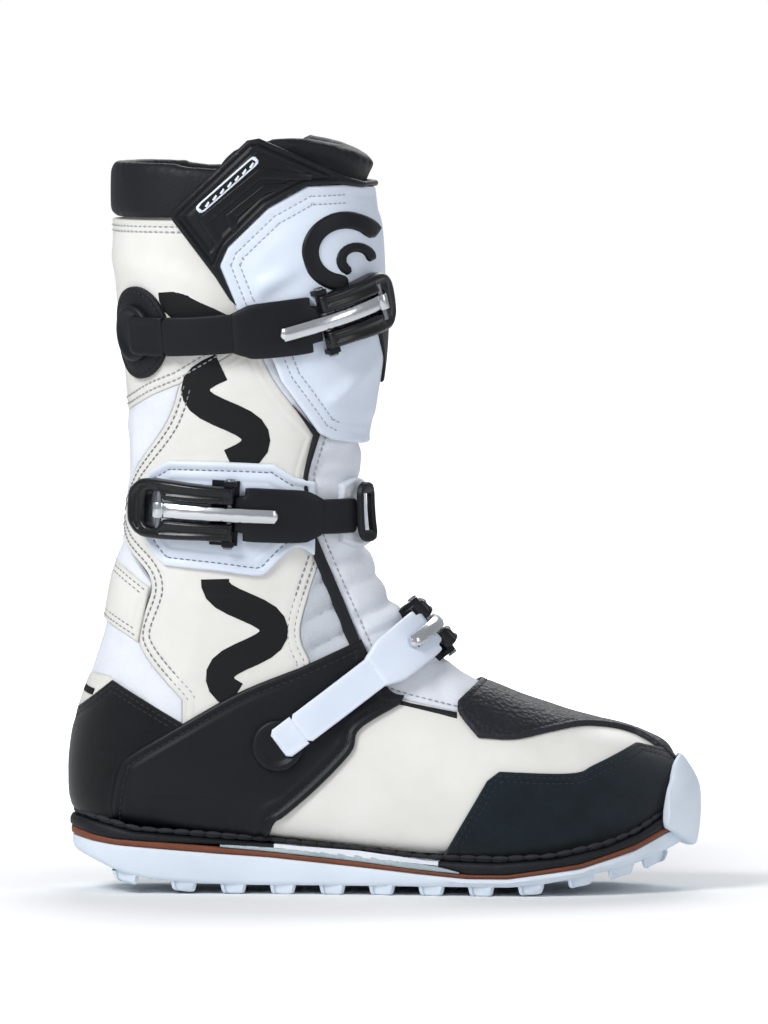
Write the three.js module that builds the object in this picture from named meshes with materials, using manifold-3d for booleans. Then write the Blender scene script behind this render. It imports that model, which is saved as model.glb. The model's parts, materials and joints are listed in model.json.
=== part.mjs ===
// Motorcycle trials boot, right foot, EU 43. Millimetres, +Z up, toe towards +X,
// lateral side towards -Y, sole lugs on z = 0.
import * as THREE from "three";
import Module from "manifold-3d";

const wasm = await Module();
wasm.setup();

// ---------------------------------------------------------------- driving dimensions
const GAP = 0.35; // clearance between pieces that touch
const LEATHER = [-3, 0]; // inner and outer offset of each layer from the last surface
const OVERLAY = [0.35, 2.4];
const FLAP_LINING = [0.4, 1.3];
const SHIN_PLATE = [1.65, 3.9];
const WING = [3.0, 5.6];
const STRAP = [5.0, 7.6];
const STRAP_HEAD = [5.0, 8.7];
const LEVER = [5.8, 13.2];
const BAR = [9.9, 12.6];
const PIVOT_HEIGHT = 8; // lever pin above the last surface
const AXLE_HEIGHT = 11.3; // bar axle above the last surface
const BUCKLE_HALF_WIDTH = 13; // outside of the lever arms
const ARM_WIDTH = 4.4;
const PIN_RADIUS = 1.4;
const LUG_PITCH = 23.8;
const LUG_ROOT = 13.4;
const LUG_TIP = 10.5;
const LUG_HEIGHT = 4.4;
const HINGE_X = -45.5; // the shin flap's vertical hinge line, on the medial side
const FRAME_SHIFT = [-0.35, 3.75, 0]; // puts the middle of the boot's box over the origin

// The last: front [x, z], back or bottom [x, z], half width, centre shift,
// place of the widest point, roundness towards the front and towards the back.
const STATIONS = [
  [[-9, 380], [-130, 372], 51, 0, 0.5, 2.3, 2.3],
  [[-9, 345], [-131, 340], 51, 0, 0.5, 2.3, 2.3],
  [[-5, 315], [-130.5, 312], 51, 0, 0.5, 2.3, 2.3],
  [[-4, 285], [-128.5, 283], 51, 0, 0.5, 2.3, 2.3],
  [[-5, 258], [-125.5, 256], 50, 0, 0.5, 2.3, 2.3],
  [[-9, 230], [-123.4, 228], 48, 0, 0.5, 2.3, 2.3],
  [[-13, 203], [-123.4, 200], 46, 0, 0.5, 2.3, 2.3],
  [[-12, 180], [-126, 172], 44, 0, 0.5, 2.3, 2.3],
  [[-8, 163], [-131, 148], 43, 0, 0.5, 2.3, 2.3],
  [[-3, 149], [-135, 126], 42.5, 0, 0.5, 2.3, 2.3],
  [[4, 138], [-140, 107], 42, 0, 0.5, 2.3, 2.4],
  [[12, 129], [-147, 86], 41.5, 0, 0.5, 2.3, 2.5],
  [[20, 120], [-150.5, 58], 41, 0, 0.5, 2.3, 2.6],
  [[28, 112], [-146, 38], 41, 0, 0.5, 2.3, 3.0],
  [[36, 105.5], [-120, 31.5], 41, 0, 0.52, 2.3, 4.0],
  [[45, 100.5], [-85, 28.5], 41.5, -0.5, 0.55, 2.3, 5.0],
  [[55, 96.5], [-48, 25.5], 43, -1.5, 0.6, 2.3, 5.0],
  [[66, 92], [-12, 21.5], 45.5, -2, 0.66, 2.3, 5.0],
  [[78, 88], [22, 18.5], 48.5, -2, 0.7, 2.3, 5.0],
  [[90, 84], [54, 17.5], 50, -2, 0.72, 2.3, 5.0],
  [[103, 80.5], [82, 19.5], 48, -1, 0.72, 2.3, 5.0],
  [[116, 77], [106, 24.5], 43, 1, 0.7, 2.3, 4.5],
  [[127, 73], [123, 31], 34.5, 3, 0.66, 2.3, 4.0],
  [[135, 68.5], [134, 38], 23, 4.5, 0.6, 2.3, 3.0],
  [[139.5, 61], [139.5, 47], 10, 5.5, 0.55, 2.3, 2.3],
];
// Half widths of the sole: x, lateral, medial.
const SOLE_PLAN = [
  [-147, 10, 10], [-143, 20, 20], [-134, 29, 29], [-118, 34, 34], [-85, 34, 33], [-45, 36, 31],
  [-5, 41, 33], [30, 47, 39], [60, 51, 45], [84, 50.5, 47.5], [104, 45, 46.5], [120, 36, 42.5],
  [132, 24, 35], [140, 11, 26], [144.5, 0, 16],
];
// Heights along the sole: x, z.
const BOTTOM_OF_LAST = [...STATIONS.slice(13, 24).map((s) => s[1]), [160, 45]];
const FLANGE_BOTTOM = [[-160, 32], [-150, 31], [-100, 26], [-50, 23], [0, 19], [25, 15.2],
  [50, 13.2], [80, 14.6], [110, 20.4], [130, 28.4], [160, 38]];
const MIDSOLE_BOTTOM = [[-160, 27.8], [-150, 27], [-130, 23], [-82, 19], [-50, 17.6], [-14, 14],
  [25, 9.4], [50, 9], [75, 10.4], [113, 18], [137, 28], [160, 34]];
const OUTSOLE_BOTTOM = [[-160, 24], [-150, 20.6], [-137, 15], [-126, 10], [-111, 7], [-88, 5],
  [-60, 4.4], [60, 4.4], [75, 5.7], [97, 9.6], [118, 14], [132, 18.5], [142, 22.5], [160, 31]];

// ---------------------------------------------------------------- helpers
const MATERIALS = {};
function material(name, color, roughness, metalness = 0) {
  MATERIALS[name] = new THREE.MeshStandardMaterial({ name, color, roughness, metalness });
}
material("ivory_leather", 0xe4e4e2, 0.55);
material("soft_leather", 0xdedede, 0.7);
material("black_plastic", 0x1c1e26, 0.45);
material("white_plastic", 0xdce4f0, 0.4);
material("heel_nubuck", 0x232426, 0.9);
material("toe_nubuck", 0x202a32, 0.85);
material("grip_leather", 0x9a8f80, 0.95);
material("black_leather", 0x1d1d20, 0.6);
material("quilted_fabric", 0xb9bcc0, 0.6);
material("lining_fabric", 0x2a2b2f, 0.95);
material("white_rubber", 0xd9dbdd, 0.6);
material("brown_rubber", 0x6e371e, 0.6);
material("grey_rubber", 0xaab9be, 0.7);
material("insole_board", 0x8b6b49, 0.9);
material("aluminium", 0xc9ccd1, 0.25, 1);
material("steel", 0x9fa3a8, 0.35, 1);

const boot = new THREE.Group();
boot.name = "trials_boot";

// A closed triangle mesh as a solid that can be joined and cut.
function solid(geometry) {
  const flat = geometry.index ? geometry.toNonIndexed() : geometry;
  const p = flat.attributes.position;
  const lookup = new Map();
  const verts = [];
  const tris = [];
  for (let i = 0; i < p.count; i += 1) {
    const key = [p.getX(i), p.getY(i), p.getZ(i)].map((v) => Math.round(v * 2000)).join(" ");
    if (!lookup.has(key)) {
      lookup.set(key, verts.length / 3);
      verts.push(p.getX(i), p.getY(i), p.getZ(i));
    }
    tris.push(lookup.get(key));
  }
  const kept = [];
  for (let i = 0; i < tris.length; i += 3) {
    const [a, b, c] = tris.slice(i, i + 3);
    if (a !== b && b !== c && a !== c) kept.push(a, b, c);
  }
  const mesh = new wasm.Mesh({
    numProp: 3, vertProperties: new Float32Array(verts), triVerts: new Uint32Array(kept),
  });
  return new wasm.Manifold(mesh);
}

// The largest body of a solid: offcuts of a cut are dropped.
function largest(body) {
  const parts = body.decompose();
  parts.sort((a, b) => b.volume() - a.volume());
  return parts[0];
}

function add(name, body, materialName) {
  const mesh = largest(body).getMesh();
  const geometry = new THREE.BufferGeometry();
  geometry.setAttribute("position", new THREE.Float32BufferAttribute(mesh.vertProperties, 3));
  geometry.setIndex(new THREE.Uint32BufferAttribute(mesh.triVerts, 1));
  geometry.translate(...FRAME_SHIFT);
  geometry.computeVertexNormals();
  const node = new THREE.Mesh(geometry, MATERIALS[materialName]);
  node.name = name;
  boot.add(node);
}

function spline(values, t) {
  const n = values.length - 1;
  const i = Math.max(0, Math.min(n - 1, Math.floor(t)));
  const u = t - i;
  const [a, b, c, d] = [-1, 0, 1, 2].map((k) => values[Math.max(0, Math.min(n, i + k))]);
  return b + 0.5 * u * (c - a + u * (2 * a - 5 * b + 4 * c - d + u * (3 * (b - c) + d - a)));
}

function lerpTable(table, x) {
  const found = table.findIndex((row) => row[0] >= x);
  const k = found < 0 ? table.length - 1 : Math.max(1, found);
  const [x0, z0] = table[k - 1];
  const [x1, z1] = table[k];
  const u = Math.max(0, Math.min(1, (x - x0) / (x1 - x0)));
  return z0 + (z1 - z0) * u;
}

// ---------------------------------------------------------------- the last surface
function stationAt(t) {
  const at = (pick) => spline(STATIONS.map(pick), t);
  const h = 0.2;
  const slope = (pick) => {
    const lo = Math.max(0, t - h);
    const hi = Math.min(STATIONS.length - 1, t + h);
    return spline(STATIONS.map(pick), hi) - spline(STATIONS.map(pick), lo);
  };
  const f = [at((s) => s[0][0]), at((s) => s[0][1])];
  const k = [at((s) => s[1][0]), at((s) => s[1][1])];
  const length = Math.hypot(k[0] - f[0], k[1] - f[1]);
  const dir = [(k[0] - f[0]) / length, (k[1] - f[1]) / length];
  const lean = (dx, dz) => {
    const across = Math.abs(dir[0] * dz - dir[1] * dx) / (Math.hypot(dx, dz) || 1);
    return 1 / Math.max(0.5, across);
  };
  const front = lean(slope((s) => s[0][0]), slope((s) => s[0][1]));
  const back = lean(slope((s) => s[1][0]), slope((s) => s[1][1]));
  const travel = Math.hypot(slope((s) => (s[0][0] + s[1][0]) / 2), slope((s) => (s[0][1] + s[1][1]) / 2));
  const side = Math.min(2, Math.hypot(1, slope((s) => s[2]) / travel));
  return {
    f, k, dir, front, back, side, half: at((s) => s[2]), centre: at((s) => s[3]),
    widest: at((s) => s[4]), roundF: at((s) => s[5]), roundB: at((s) => s[6]),
  };
}

// One point of a ring: angle 0 at the front, pi at the back, sign -1 lateral, +1 medial.
function ringPoint(s, angle, sign, offset) {
  const fx = s.f[0] - s.dir[0] * offset * s.front;
  const fz = s.f[1] - s.dir[1] * offset * s.front;
  const kx = s.k[0] + s.dir[0] * offset * s.back;
  const kz = s.k[1] + s.dir[1] * offset * s.back;
  const half = s.half + offset * s.side;
  const c = Math.cos(angle);
  const e = 2 / (c >= 0 ? s.roundF : s.roundB);
  const along = c >= 0 ? s.widest * (1 - c ** e) : s.widest + (1 - s.widest) * (-c) ** e;
  const out = half * Math.max(0, Math.sin(angle)) ** e;
  return new THREE.Vector3(fx + (kx - fx) * along, s.centre + sign * out, fz + (kz - fz) * along);
}

// Angles that split half of a ring into equal lengths.
function ringAngles(s, steps) {
  const fine = 180;
  const total = [0];
  for (let i = 1; i <= fine; i += 1) {
    const a = ringPoint(s, (Math.PI * (i - 1)) / fine, 1, 0);
    const b = ringPoint(s, (Math.PI * i) / fine, 1, 0);
    total.push(total[i - 1] + a.distanceTo(b));
  }
  const angles = [];
  for (let i = 0; i <= steps; i += 1) {
    const goal = (total[fine] * i) / steps;
    const k = Math.max(1, total.findIndex((v) => v >= goal - 1e-9));
    const u = (goal - total[k - 1]) / (total[k] - total[k - 1]);
    angles.push((Math.PI * (k - 1 + u)) / fine);
  }
  return angles;
}

// A closed surface at one offset, from the top edge to the toe, as rings of points.
function rings(offset, rows, columns) {
  const end = offset < -5 ? 22.8 : offset < -1 ? 23.5 : 24;
  const list = [];
  for (let row = 0; row <= rows; row += 1) {
    const s = stationAt((end * row) / rows);
    const angles = ringAngles(s, columns);
    const ring = angles.map((a) => ringPoint(s, a, -1, offset));
    for (let i = columns - 1; i > 0; i -= 1) ring.push(ringPoint(s, angles[i], 1, offset));
    list.push(ring);
  }
  return list;
}

function surfaceTriangles(list, out, flip) {
  const push = (a, b, c) => (flip ? out.push(a, c, b) : out.push(a, b, c));
  for (let r = 0; r < list.length - 1; r += 1) {
    const n = list[r].length;
    for (let i = 0; i < n; i += 1) {
      const j = (i + 1) % n;
      push(list[r][i], list[r + 1][i], list[r][j]);
      push(list[r][j], list[r + 1][i], list[r + 1][j]);
    }
  }
  const last = list.at(-1);
  const centre = last.reduce((sum, p) => sum.add(p), new THREE.Vector3()).divideScalar(last.length);
  centre.x += 1.5;
  for (let i = 0; i < last.length; i += 1) push(last[i], centre, last[(i + 1) % last.length]);
}

function fromTriangles(points) {
  const geometry = new THREE.BufferGeometry().setFromPoints(points);
  const body = solid(geometry);
  if (body.volume() > 0) return body;
  const turned = [];
  for (let i = 0; i < points.length; i += 3) turned.push(points[i], points[i + 2], points[i + 1]);
  return solid(new THREE.BufferGeometry().setFromPoints(turned));
}

// The boot-shaped wall between two offsets, open at the top.
function shell([inner, outer], rows = 20, columns = 11) {
  const a = rings(outer, rows, columns);
  const b = rings(inner, rows, columns);
  const out = [];
  surfaceTriangles(a, out, false);
  surfaceTriangles(b, out, true);
  const n = a[0].length;
  for (let i = 0; i < n; i += 1) {
    const j = (i + 1) % n;
    out.push(a[0][i], a[0][j], b[0][i], b[0][i], a[0][j], b[0][j]);
  }
  return fromTriangles(out);
}

// The boot-shaped solid inside one offset.
function lastSolid(offset, rows = 20, columns = 11) {
  const a = rings(offset, rows, columns);
  const out = [];
  surfaceTriangles(a, out, false);
  const centre = a[0].reduce((sum, p) => sum.add(p), new THREE.Vector3()).divideScalar(a[0].length);
  for (let i = 0; i < a[0].length; i += 1) out.push(a[0][i], a[0][(i + 1) % a[0].length], centre);
  return fromTriangles(out);
}

// ---------------------------------------------------------------- cutters
const X = new THREE.Vector3(1, 0, 0);
const Y = new THREE.Vector3(0, 1, 0);
const Z = new THREE.Vector3(0, 0, 1);

// An outline drawn in the (u, v) plane at an origin and pushed along u x v.
function prism(outline, near, far, origin = new THREE.Vector3(), u = X, v = Z) {
  const area = THREE.ShapeUtils.area(outline.map(([a, b]) => new THREE.Vector2(a, b)));
  const ordered = area < 0 ? [...outline].reverse() : outline;
  const shape = new THREE.Shape(ordered.map(([a, b]) => new THREE.Vector2(a, b)));
  const geometry = new THREE.ExtrudeGeometry(shape, { depth: far - near, bevelEnabled: false });
  geometry.translate(0, 0, near);
  const w = new THREE.Vector3().crossVectors(u, v);
  geometry.applyMatrix4(new THREE.Matrix4().makeBasis(u, v, w).setPosition(origin));
  return solid(geometry);
}

// Side-view cutters: both sides, lateral only, medial only.
const across = (outline) => prism(outline, -90, 90);
const lateral = (outline) => prism(outline, 0.2, 90);
const medial = (outline) => prism(outline, -90, -0.2);

function grown(outline, distance) {
  const area = THREE.ShapeUtils.area(outline.map(([a, b]) => new THREE.Vector2(a, b)));
  const turn = Math.sign(area);
  return outline.map((p, i) => {
    const a = outline[(i + outline.length - 1) % outline.length];
    const b = outline[(i + 1) % outline.length];
    const d0 = new THREE.Vector2(p[0] - a[0], p[1] - a[1]).normalize();
    const d1 = new THREE.Vector2(b[0] - p[0], b[1] - p[1]).normalize();
    const n = new THREE.Vector2(d0.y + d1.y, -d0.x - d1.x).normalize();
    const spread = distance / Math.max(0.4, n.x * d0.y - n.y * d0.x);
    return [p[0] + n.x * spread * turn, p[1] + n.y * spread * turn];
  });
}

// Cuts pieces out of one layer, leaving a gap round each.
function layer(range, rows, columns) {
  let rest = shell(range, rows, columns);
  return {
    take(outline, cutter = across) {
      const piece = rest.intersect(cutter(outline));
      rest = rest.subtract(cutter(grown(outline, GAP)));
      return piece;
    },
    drop(outline, cutter = across) {
      rest = rest.subtract(cutter(outline));
    },
    remainder: () => rest,
  };
}

// A side-view band between two height tables.
function band(top, bottom, from, to, lift = 0, drop = 0) {
  const xs = [];
  const count = Math.ceil((to - from) / 13);
  for (let i = 0; i <= count; i += 1) xs.push(from + ((to - from) * i) / count);
  const upper = xs.map((x) => [x, lerpTable(top, x) + lift]);
  const lower = xs.map((x) => [x, lerpTable(bottom, x) + drop]);
  return across([...lower, ...upper.reverse()]);
}

// The sole's plan, grown by a margin, as an upright column.
function column(margin) {
  const side = (k, sign) => {
    const curve = new THREE.CatmullRomCurve3(SOLE_PLAN.map((r) => new THREE.Vector3(r[0], sign * r[k], 0)));
    return curve.getPoints(18).map((p) => [p.x, p.y]);
  };
  const outline = [...side(1, -1), ...side(2, 1).reverse()];
  return prism(grown(outline, margin), -20, 120, new THREE.Vector3(), X, Y);
}

function cylinderAlong(from, to, radius, sides = 10) {
  const axis = new THREE.Vector3().subVectors(to, from);
  const geometry = new THREE.CylinderGeometry(radius, radius, axis.length(), sides);
  const turn = new THREE.Quaternion().setFromUnitVectors(Y, axis.clone().normalize());
  geometry.applyQuaternion(turn);
  geometry.translate(...from.clone().add(to).multiplyScalar(0.5).toArray());
  return solid(geometry);
}

// ---------------------------------------------------------------- sole unit
function sole() {
  const upperLimit = BOTTOM_OF_LAST;
  add("welt", column(4.5).intersect(band(upperLimit, FLANGE_BOTTOM, -160, 160, -1.3, 0)), "black_leather");
  const inArch = across([[-81, -20], [41, -20], [41, 60], [-81, 60]]);
  const arch = across([[-80.6, -20], [40.6, -20], [40.6, 60], [-80.6, 60]]);
  const strip = column(3).intersect(band(FLANGE_BOTTOM, FLANGE_BOTTOM, -160, 160, -0.4, -2.4));
  add("arch_strip", strip.intersect(arch), "grey_rubber");
  const under = column(3.6).intersect(band(FLANGE_BOTTOM, MIDSOLE_BOTTOM, -160, 160, -0.4, 0));
  const relief = band(FLANGE_BOTTOM, FLANGE_BOTTOM, -160, 160, 5, -2.75);
  add("midsole", under.subtract(relief.intersect(inArch)), "brown_rubber");
  outsole();
  toeBumper();
}

function lugAt(x) {
  const up = lerpTable(OUTSOLE_BOTTOM, x) + 1.5;
  const low = (dx) => Math.max(0, lerpTable(OUTSOLE_BOTTOM, x + dx) - LUG_HEIGHT);
  return across([
    [x - LUG_TIP / 2, low(-LUG_TIP / 2)], [x + LUG_TIP / 2, low(LUG_TIP / 2)],
    [x + LUG_ROOT / 2, up], [x - LUG_ROOT / 2, up],
  ]);
}

function outsole() {
  let body = column(3.2).intersect(band(MIDSOLE_BOTTOM, OUTSOLE_BOTTOM, -160, 148, -GAP, 0));
  const xs = [-124];
  for (let x = -96.2; x < 140; x += LUG_PITCH) xs.push(x);
  const rows = xs.map((x) => lugAt(x)).reduce((all, lug) => all.add(lug));
  const groove = (y) => prism([[-160, y - 2.5], [160, y - 2.5], [160, y + 2.5], [-160, y + 2.5]],
    -10, 40, new THREE.Vector3(), X, Y).subtract(band(MIDSOLE_BOTTOM, OUTSOLE_BOTTOM, -170, 170));
  const blocks = rows.intersect(column(2)).subtract(groove(-13)).subtract(groove(13));
  body = body.add(blocks);
  add("outsole", body, "white_rubber");
}

function toeBumper() {
  const profile = across([[139.3, 35], [141, 57], [143, 65.5], [148, 61.5], [153.6, 49], [153.6, 38],
    [150.8, 29.6], [141, 33.2]]);
  const plan = prism([[130, -32], [141, -29], [147.5, -21], [151.5, -10], [153.6, 4], [152.8, 18],
    [149.5, 30], [142, 40], [130, 43]], 0, 90, new THREE.Vector3(), X, Y);
  const crescent = plan.intersect(profile).subtract(lastSolid(2.7));
  const flange = across([[130, 0], [170, 0], [170, 42.4], [130, 42.4]]);
  add("toe_bumper", crescent.subtract(column(4.9).intersect(flange)), "white_rubber");
}

// ---------------------------------------------------------------- leather upper, lining, footbed
const TOP_LINE = [[-150, 400], [-150, 323], [-62, 323], [-62, 335], [20, 335], [20, 400]];

function upper() {
  const cut = layer(LEATHER);
  cut.drop(TOP_LINE);
  const bottom = band(BOTTOM_OF_LAST, OUTSOLE_BOTTOM, -150, 150, 4.6, 0);
  const plan = column(-9);
  const boardCutter = () => bottom.intersect(plan);
  add("insole_board", cut.take([], boardCutter), "insole_board");
  add("upper_back_panel", cut.take([[-140, 324], [-62.3, 324], [-62.3, 268], [-80, 256.5], [-97.9, 246],
    [-140, 246]]), "ivory_leather");
  add("achilles_bellows", cut.take([[-140, 245.6], [-98.3, 245.6], [-104.2, 227.5], [-119.5, 204],
    [-126.5, 181], [-140, 181]]), "soft_leather");
  const heel = [[-160, 180.6], [-125.9, 180.6], [-124.3, 167], [-111.8, 149.3], [-117.6, 121],
    [-97, 93.6], [-97, 0], [-160, 0]];
  add("heel_leather", cut.take(heel), "ivory_leather");
  const quarter = [[-98, 245.4], [-79.8, 255.9], [-62, 267.4], [-54, 250], [-44, 236], [-31, 222],
    [-36, 206], [-37, 198], [-33.6, 174], [-30.7, 161.8], [-40.3, 128.6], [-36, 112.8], [-36, 80],
    [-96.6, 80], [-96.6, 93.6], [-117.2, 121], [-111.4, 149.3], [-123.9, 167], [-127.6, 180.6],
    [-126.2, 181], [-119.2, 204], [-103.8, 227.5]];
  add("quarter_lateral", cut.take(quarter, lateral), "ivory_leather");
  add("quarter_medial", cut.take(quarter, medial), "grip_leather");
  const gusset = [[-33.3, 174], [-30.4, 161.8], [-40, 128.6], [-35.6, 112.8], [-35.6, 80], [-7.2, 80],
    [-7.2, 112.8]];
  add("gusset_lateral", cut.take(gusset, lateral), "quilted_fabric");
  add("gusset_medial", cut.take(gusset, medial), "quilted_fabric");
  add("front_flap", cut.take([[-62, 336], [-62, 267.4], [-54, 250], [-44, 236], [-31, 222], [-36, 206],
    [-37, 198], [-33.3, 174.4], [-7, 113.2], [15, 113.2], [60, 118], [60, 336]]), "soft_leather");
  add("instep_tongue", cut.take([[-7, 112.8], [15, 112.8], [60, 117.6], [60, 88], [34, 88.3],
    [9.6, 94], [-7, 100]]), "ivory_leather");
  add("vamp", cut.remainder(), "ivory_leather");
}

function inside() {
  const lining = shell([-6.6, -3.5]);
  const line = across([[-150, 400], [-150, 322.6], [-62, 322.6], [-62, 334], [20, 334], [20, 400]]);
  add("liner", lining.subtract(line), "lining_fabric");
  const bed = lastSolid(-7.4).intersect(band(BOTTOM_OF_LAST, BOTTOM_OF_LAST, -135, 124, 14.5, 8.5));
  add("footbed", bed, "lining_fabric");
}

function collars() {
  const back = shell([-6.9, 2.5]);
  const rim = [[-140, 351.5], [-104, 351], [-84, 349]];
  const rear = back.intersect(across([[-140, 323.6], [-84, 323.6], ...[...rim].reverse()]));
  const inner = back.intersect(medial([[-84.2, 335.4], [-46.8, 335.4], [-46.8, 353], [-84.2, 349]]));
  const step = back.intersect(medial([[-84.2, 323.6], [-62.6, 323.6], [-62.6, 336], [-84.2, 336]]));
  add("collar_back", rear.add(inner).add(step), "black_leather");
  const front = shell([-6.9, 0]).intersect(across([[-80, 335.6], [-80, 357], [-73, 359.5], [-65, 362.5],
    [-42, 363], [-27, 361], [-11.5, 357], [-3.8, 350], [3, 346], [10, 335.6]]));
  add("collar_front", front.subtract(medialBack()), "black_leather");
}

// The space on the medial side behind the flap's hinge line.
function medialBack() {
  const edge = HINGE_X + 2.1;
  return medial([[-150, 200], [edge, 200], [edge, 380], [-150, 380]]);
}

// ---------------------------------------------------------------- overlays on the upper
function overlays() {
  const cut = layer(OVERLAY);
  const feather = band(BOTTOM_OF_LAST, OUTSOLE_BOTTOM, -170, 170, 1.6, -30);
  cut.drop([], () => feather);
  const anklePlate = [[-131, 33.6], [-128.2, 53.8], [-126.2, 60.5], [-121.9, 66.7], [-97, 82.1],
    [-69.1, 97.9], [-40.3, 109.4], [-11.5, 122.4], [-7.2, 112.8], [2.4, 97.9], [9.6, 95], [7.7, 91.2],
    [-11.5, 79.7], [-15.8, 68.6], [-31.7, 51.8], [-53.3, 33.6], [-56.6, 20], [-131, 20]];
  add("ankle_plate_lateral", cut.take(anklePlate, lateral), "black_plastic");
  add("ankle_plate_medial", cut.take(anklePlate, medial), "black_plastic");
  add("heel_tab", cut.take([[-160, 103], [-142.6, 106.6], [-130.8, 102.5], [-149.5, 85.4], [-160, 85.4]]),
    "ivory_leather");
  add("heel_counter", cut.take([[-160, 85], [-149.5, 85], [-129.1, 102.2], [-97, 82.6], [-97, 10],
    [-160, 10]]), "heel_nubuck");
  add("achilles_band", cut.take([[-145, 160], [-130.6, 160.8], [-112.8, 147.4], [-118, 121],
    [-133.9, 131.5], [-150, 131]]), "ivory_leather");
  add("toe_strip", cut.take([[46.1, 112], [35.5, 92], [36, 86.9], [45.1, 75.6], [62.4, 75.2],
    [93.6, 79], [108, 78.2], [126.7, 71.6], [139.5, 62.4], [160, 66], [160, 112]]), "black_leather");
  const cap = [[26.9, 0], [32.2, 21.1], [49.4, 55.2], [55.2, 59.5], [89.3, 58.6], [100.8, 62.4],
    [120.5, 71], [133.9, 68.2], [170, 66], [170, 0]];
  add("toe_cap", cut.take(cap), "toe_nubuck");
  const hinge = [[-61.8, 224], [-46.6, 224], [-46.6, 330], [-61.8, 322]];
  add("flap_hinge_strip", cut.take(hinge, medial), "soft_leather");
  const plate = [[-111.8, 203], [-102.7, 208.8], [-52.8, 207.4], [-43.2, 201.1], [-30.7, 198.7],
    [-30.7, 163], [-43.2, 169], [-55.7, 155.5], [-61, 153.6], [-104.6, 158.4], [-116.2, 174.7]];
  add("buckle_plate_middle", cut.take(plate, lateral), "white_plastic");
}

// ---------------------------------------------------------------- shin flap
const PLATE_EDGE = [[0.5, 338.9], [-37, 341.8], [-55.7, 331.2], [-74.9, 311.5], [-78.7, 302.9],
  [-70.6, 282.2], [-54.7, 261.6], [-49, 247.2], [-30.7, 221.8], [-25.4, 218.9], [-5.8, 216]];

function shinFlap() {
  const plateOutline = [...PLATE_EDGE, [20, 216], [20, 338.9]];
  const plate = shell(SHIN_PLATE).intersect(across(plateOutline));
  add("shin_plate", plate.subtract(medialBack()), "white_plastic");
  const lining = shell(FLAP_LINING).intersect(across(grown(plateOutline, -2)));
  add("shin_lining", lining.subtract(medialBack()), "lining_fabric");
  const wing = shell(WING).intersect(across([[-102.2, 327.8], [-65.3, 362.9], [-59.5, 364.3],
    [-1, 339.8], [20, 332], [20, 290], [-60, 290], [-73.8, 286.5], [-80.6, 297.1]]));
  const body = wing.subtract(across(grown([...PLATE_EDGE.slice(0, 7), [20, 261.6], [20, 338.9]], GAP)));
  add("wing", body.subtract(medialBack()), "black_plastic");
}

// ---------------------------------------------------------------- buckles
// A point of the last surface: t along it, turn 0 at the front, negative lateral.
function surfacePoint(t, turn, offset = 0) {
  return ringPoint(stationAt(t), Math.abs(turn), turn < 0 ? -1 : 1, offset);
}

// Walks over the last surface until the view of it along a frame reaches (u, v).
function place(frame, u, v) {
  let { t, turn } = frame;
  for (let i = 0; i < 30; i += 1) {
    const p = surfacePoint(t, turn);
    const view = (q) => {
      const d = q.clone().sub(frame.origin);
      return [d.dot(frame.u), d.dot(frame.v)];
    };
    const [a, b] = view(p);
    const [at, bt] = view(surfacePoint(t + 0.01, turn)).map((q, k) => (q - [a, b][k]) / 0.01);
    const [aw, bw] = view(surfacePoint(t, turn - 0.01)).map((q, k) => (q - [a, b][k]) / -0.01);
    const det = at * bw - aw * bt;
    const limit = (q) => Math.max(-0.3, Math.min(0.3, q));
    t += limit(((u - a) * bw - aw * (v - b)) / det);
    turn += limit((at * (v - b) - (u - a) * bt) / det);
  }
  return { t, turn };
}

// A frame standing on the last surface: n outward, u towards the lever's loop, v across.
function frameAt({ t, turn }, along) {
  const h = 0.02;
  const p = surfacePoint(t, turn);
  const dt = surfacePoint(t + h, turn).sub(surfacePoint(t - h, turn));
  const dw = surfacePoint(t, turn - h).sub(surfacePoint(t, turn + h));
  const n = new THREE.Vector3().crossVectors(dt, dw).normalize();
  const centre = surfacePoint(t, 0).add(surfacePoint(t, Math.PI)).multiplyScalar(0.5);
  if (n.dot(p.clone().sub(centre)) < 0) n.negate();
  const v = new THREE.Vector3().crossVectors(n, along).normalize();
  const u = new THREE.Vector3().crossVectors(v, n).normalize();
  return { t, turn, origin: p, u, v, n };
}

const SIDE_VIEW = { t: 6, turn: -1.6, origin: new THREE.Vector3(), u: X, v: Z };

function local(frame, u, v, n) {
  return frame.origin.clone().addScaledVector(frame.u, u).addScaledVector(frame.v, v)
    .addScaledVector(frame.n, n);
}

const cutLocal = (frame, outline, near, far) => prism(outline, near, far, frame.origin, frame.u, frame.v);

function rod(frame, u, n, half, radius) {
  return cylinderAlong(local(frame, u, -half, n), local(frame, u, half, n), radius);
}

const rectangle = (u0, u1, v0, v1) => [[u0, v0], [u1, v0], [u1, v1], [u0, v1]];

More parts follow.
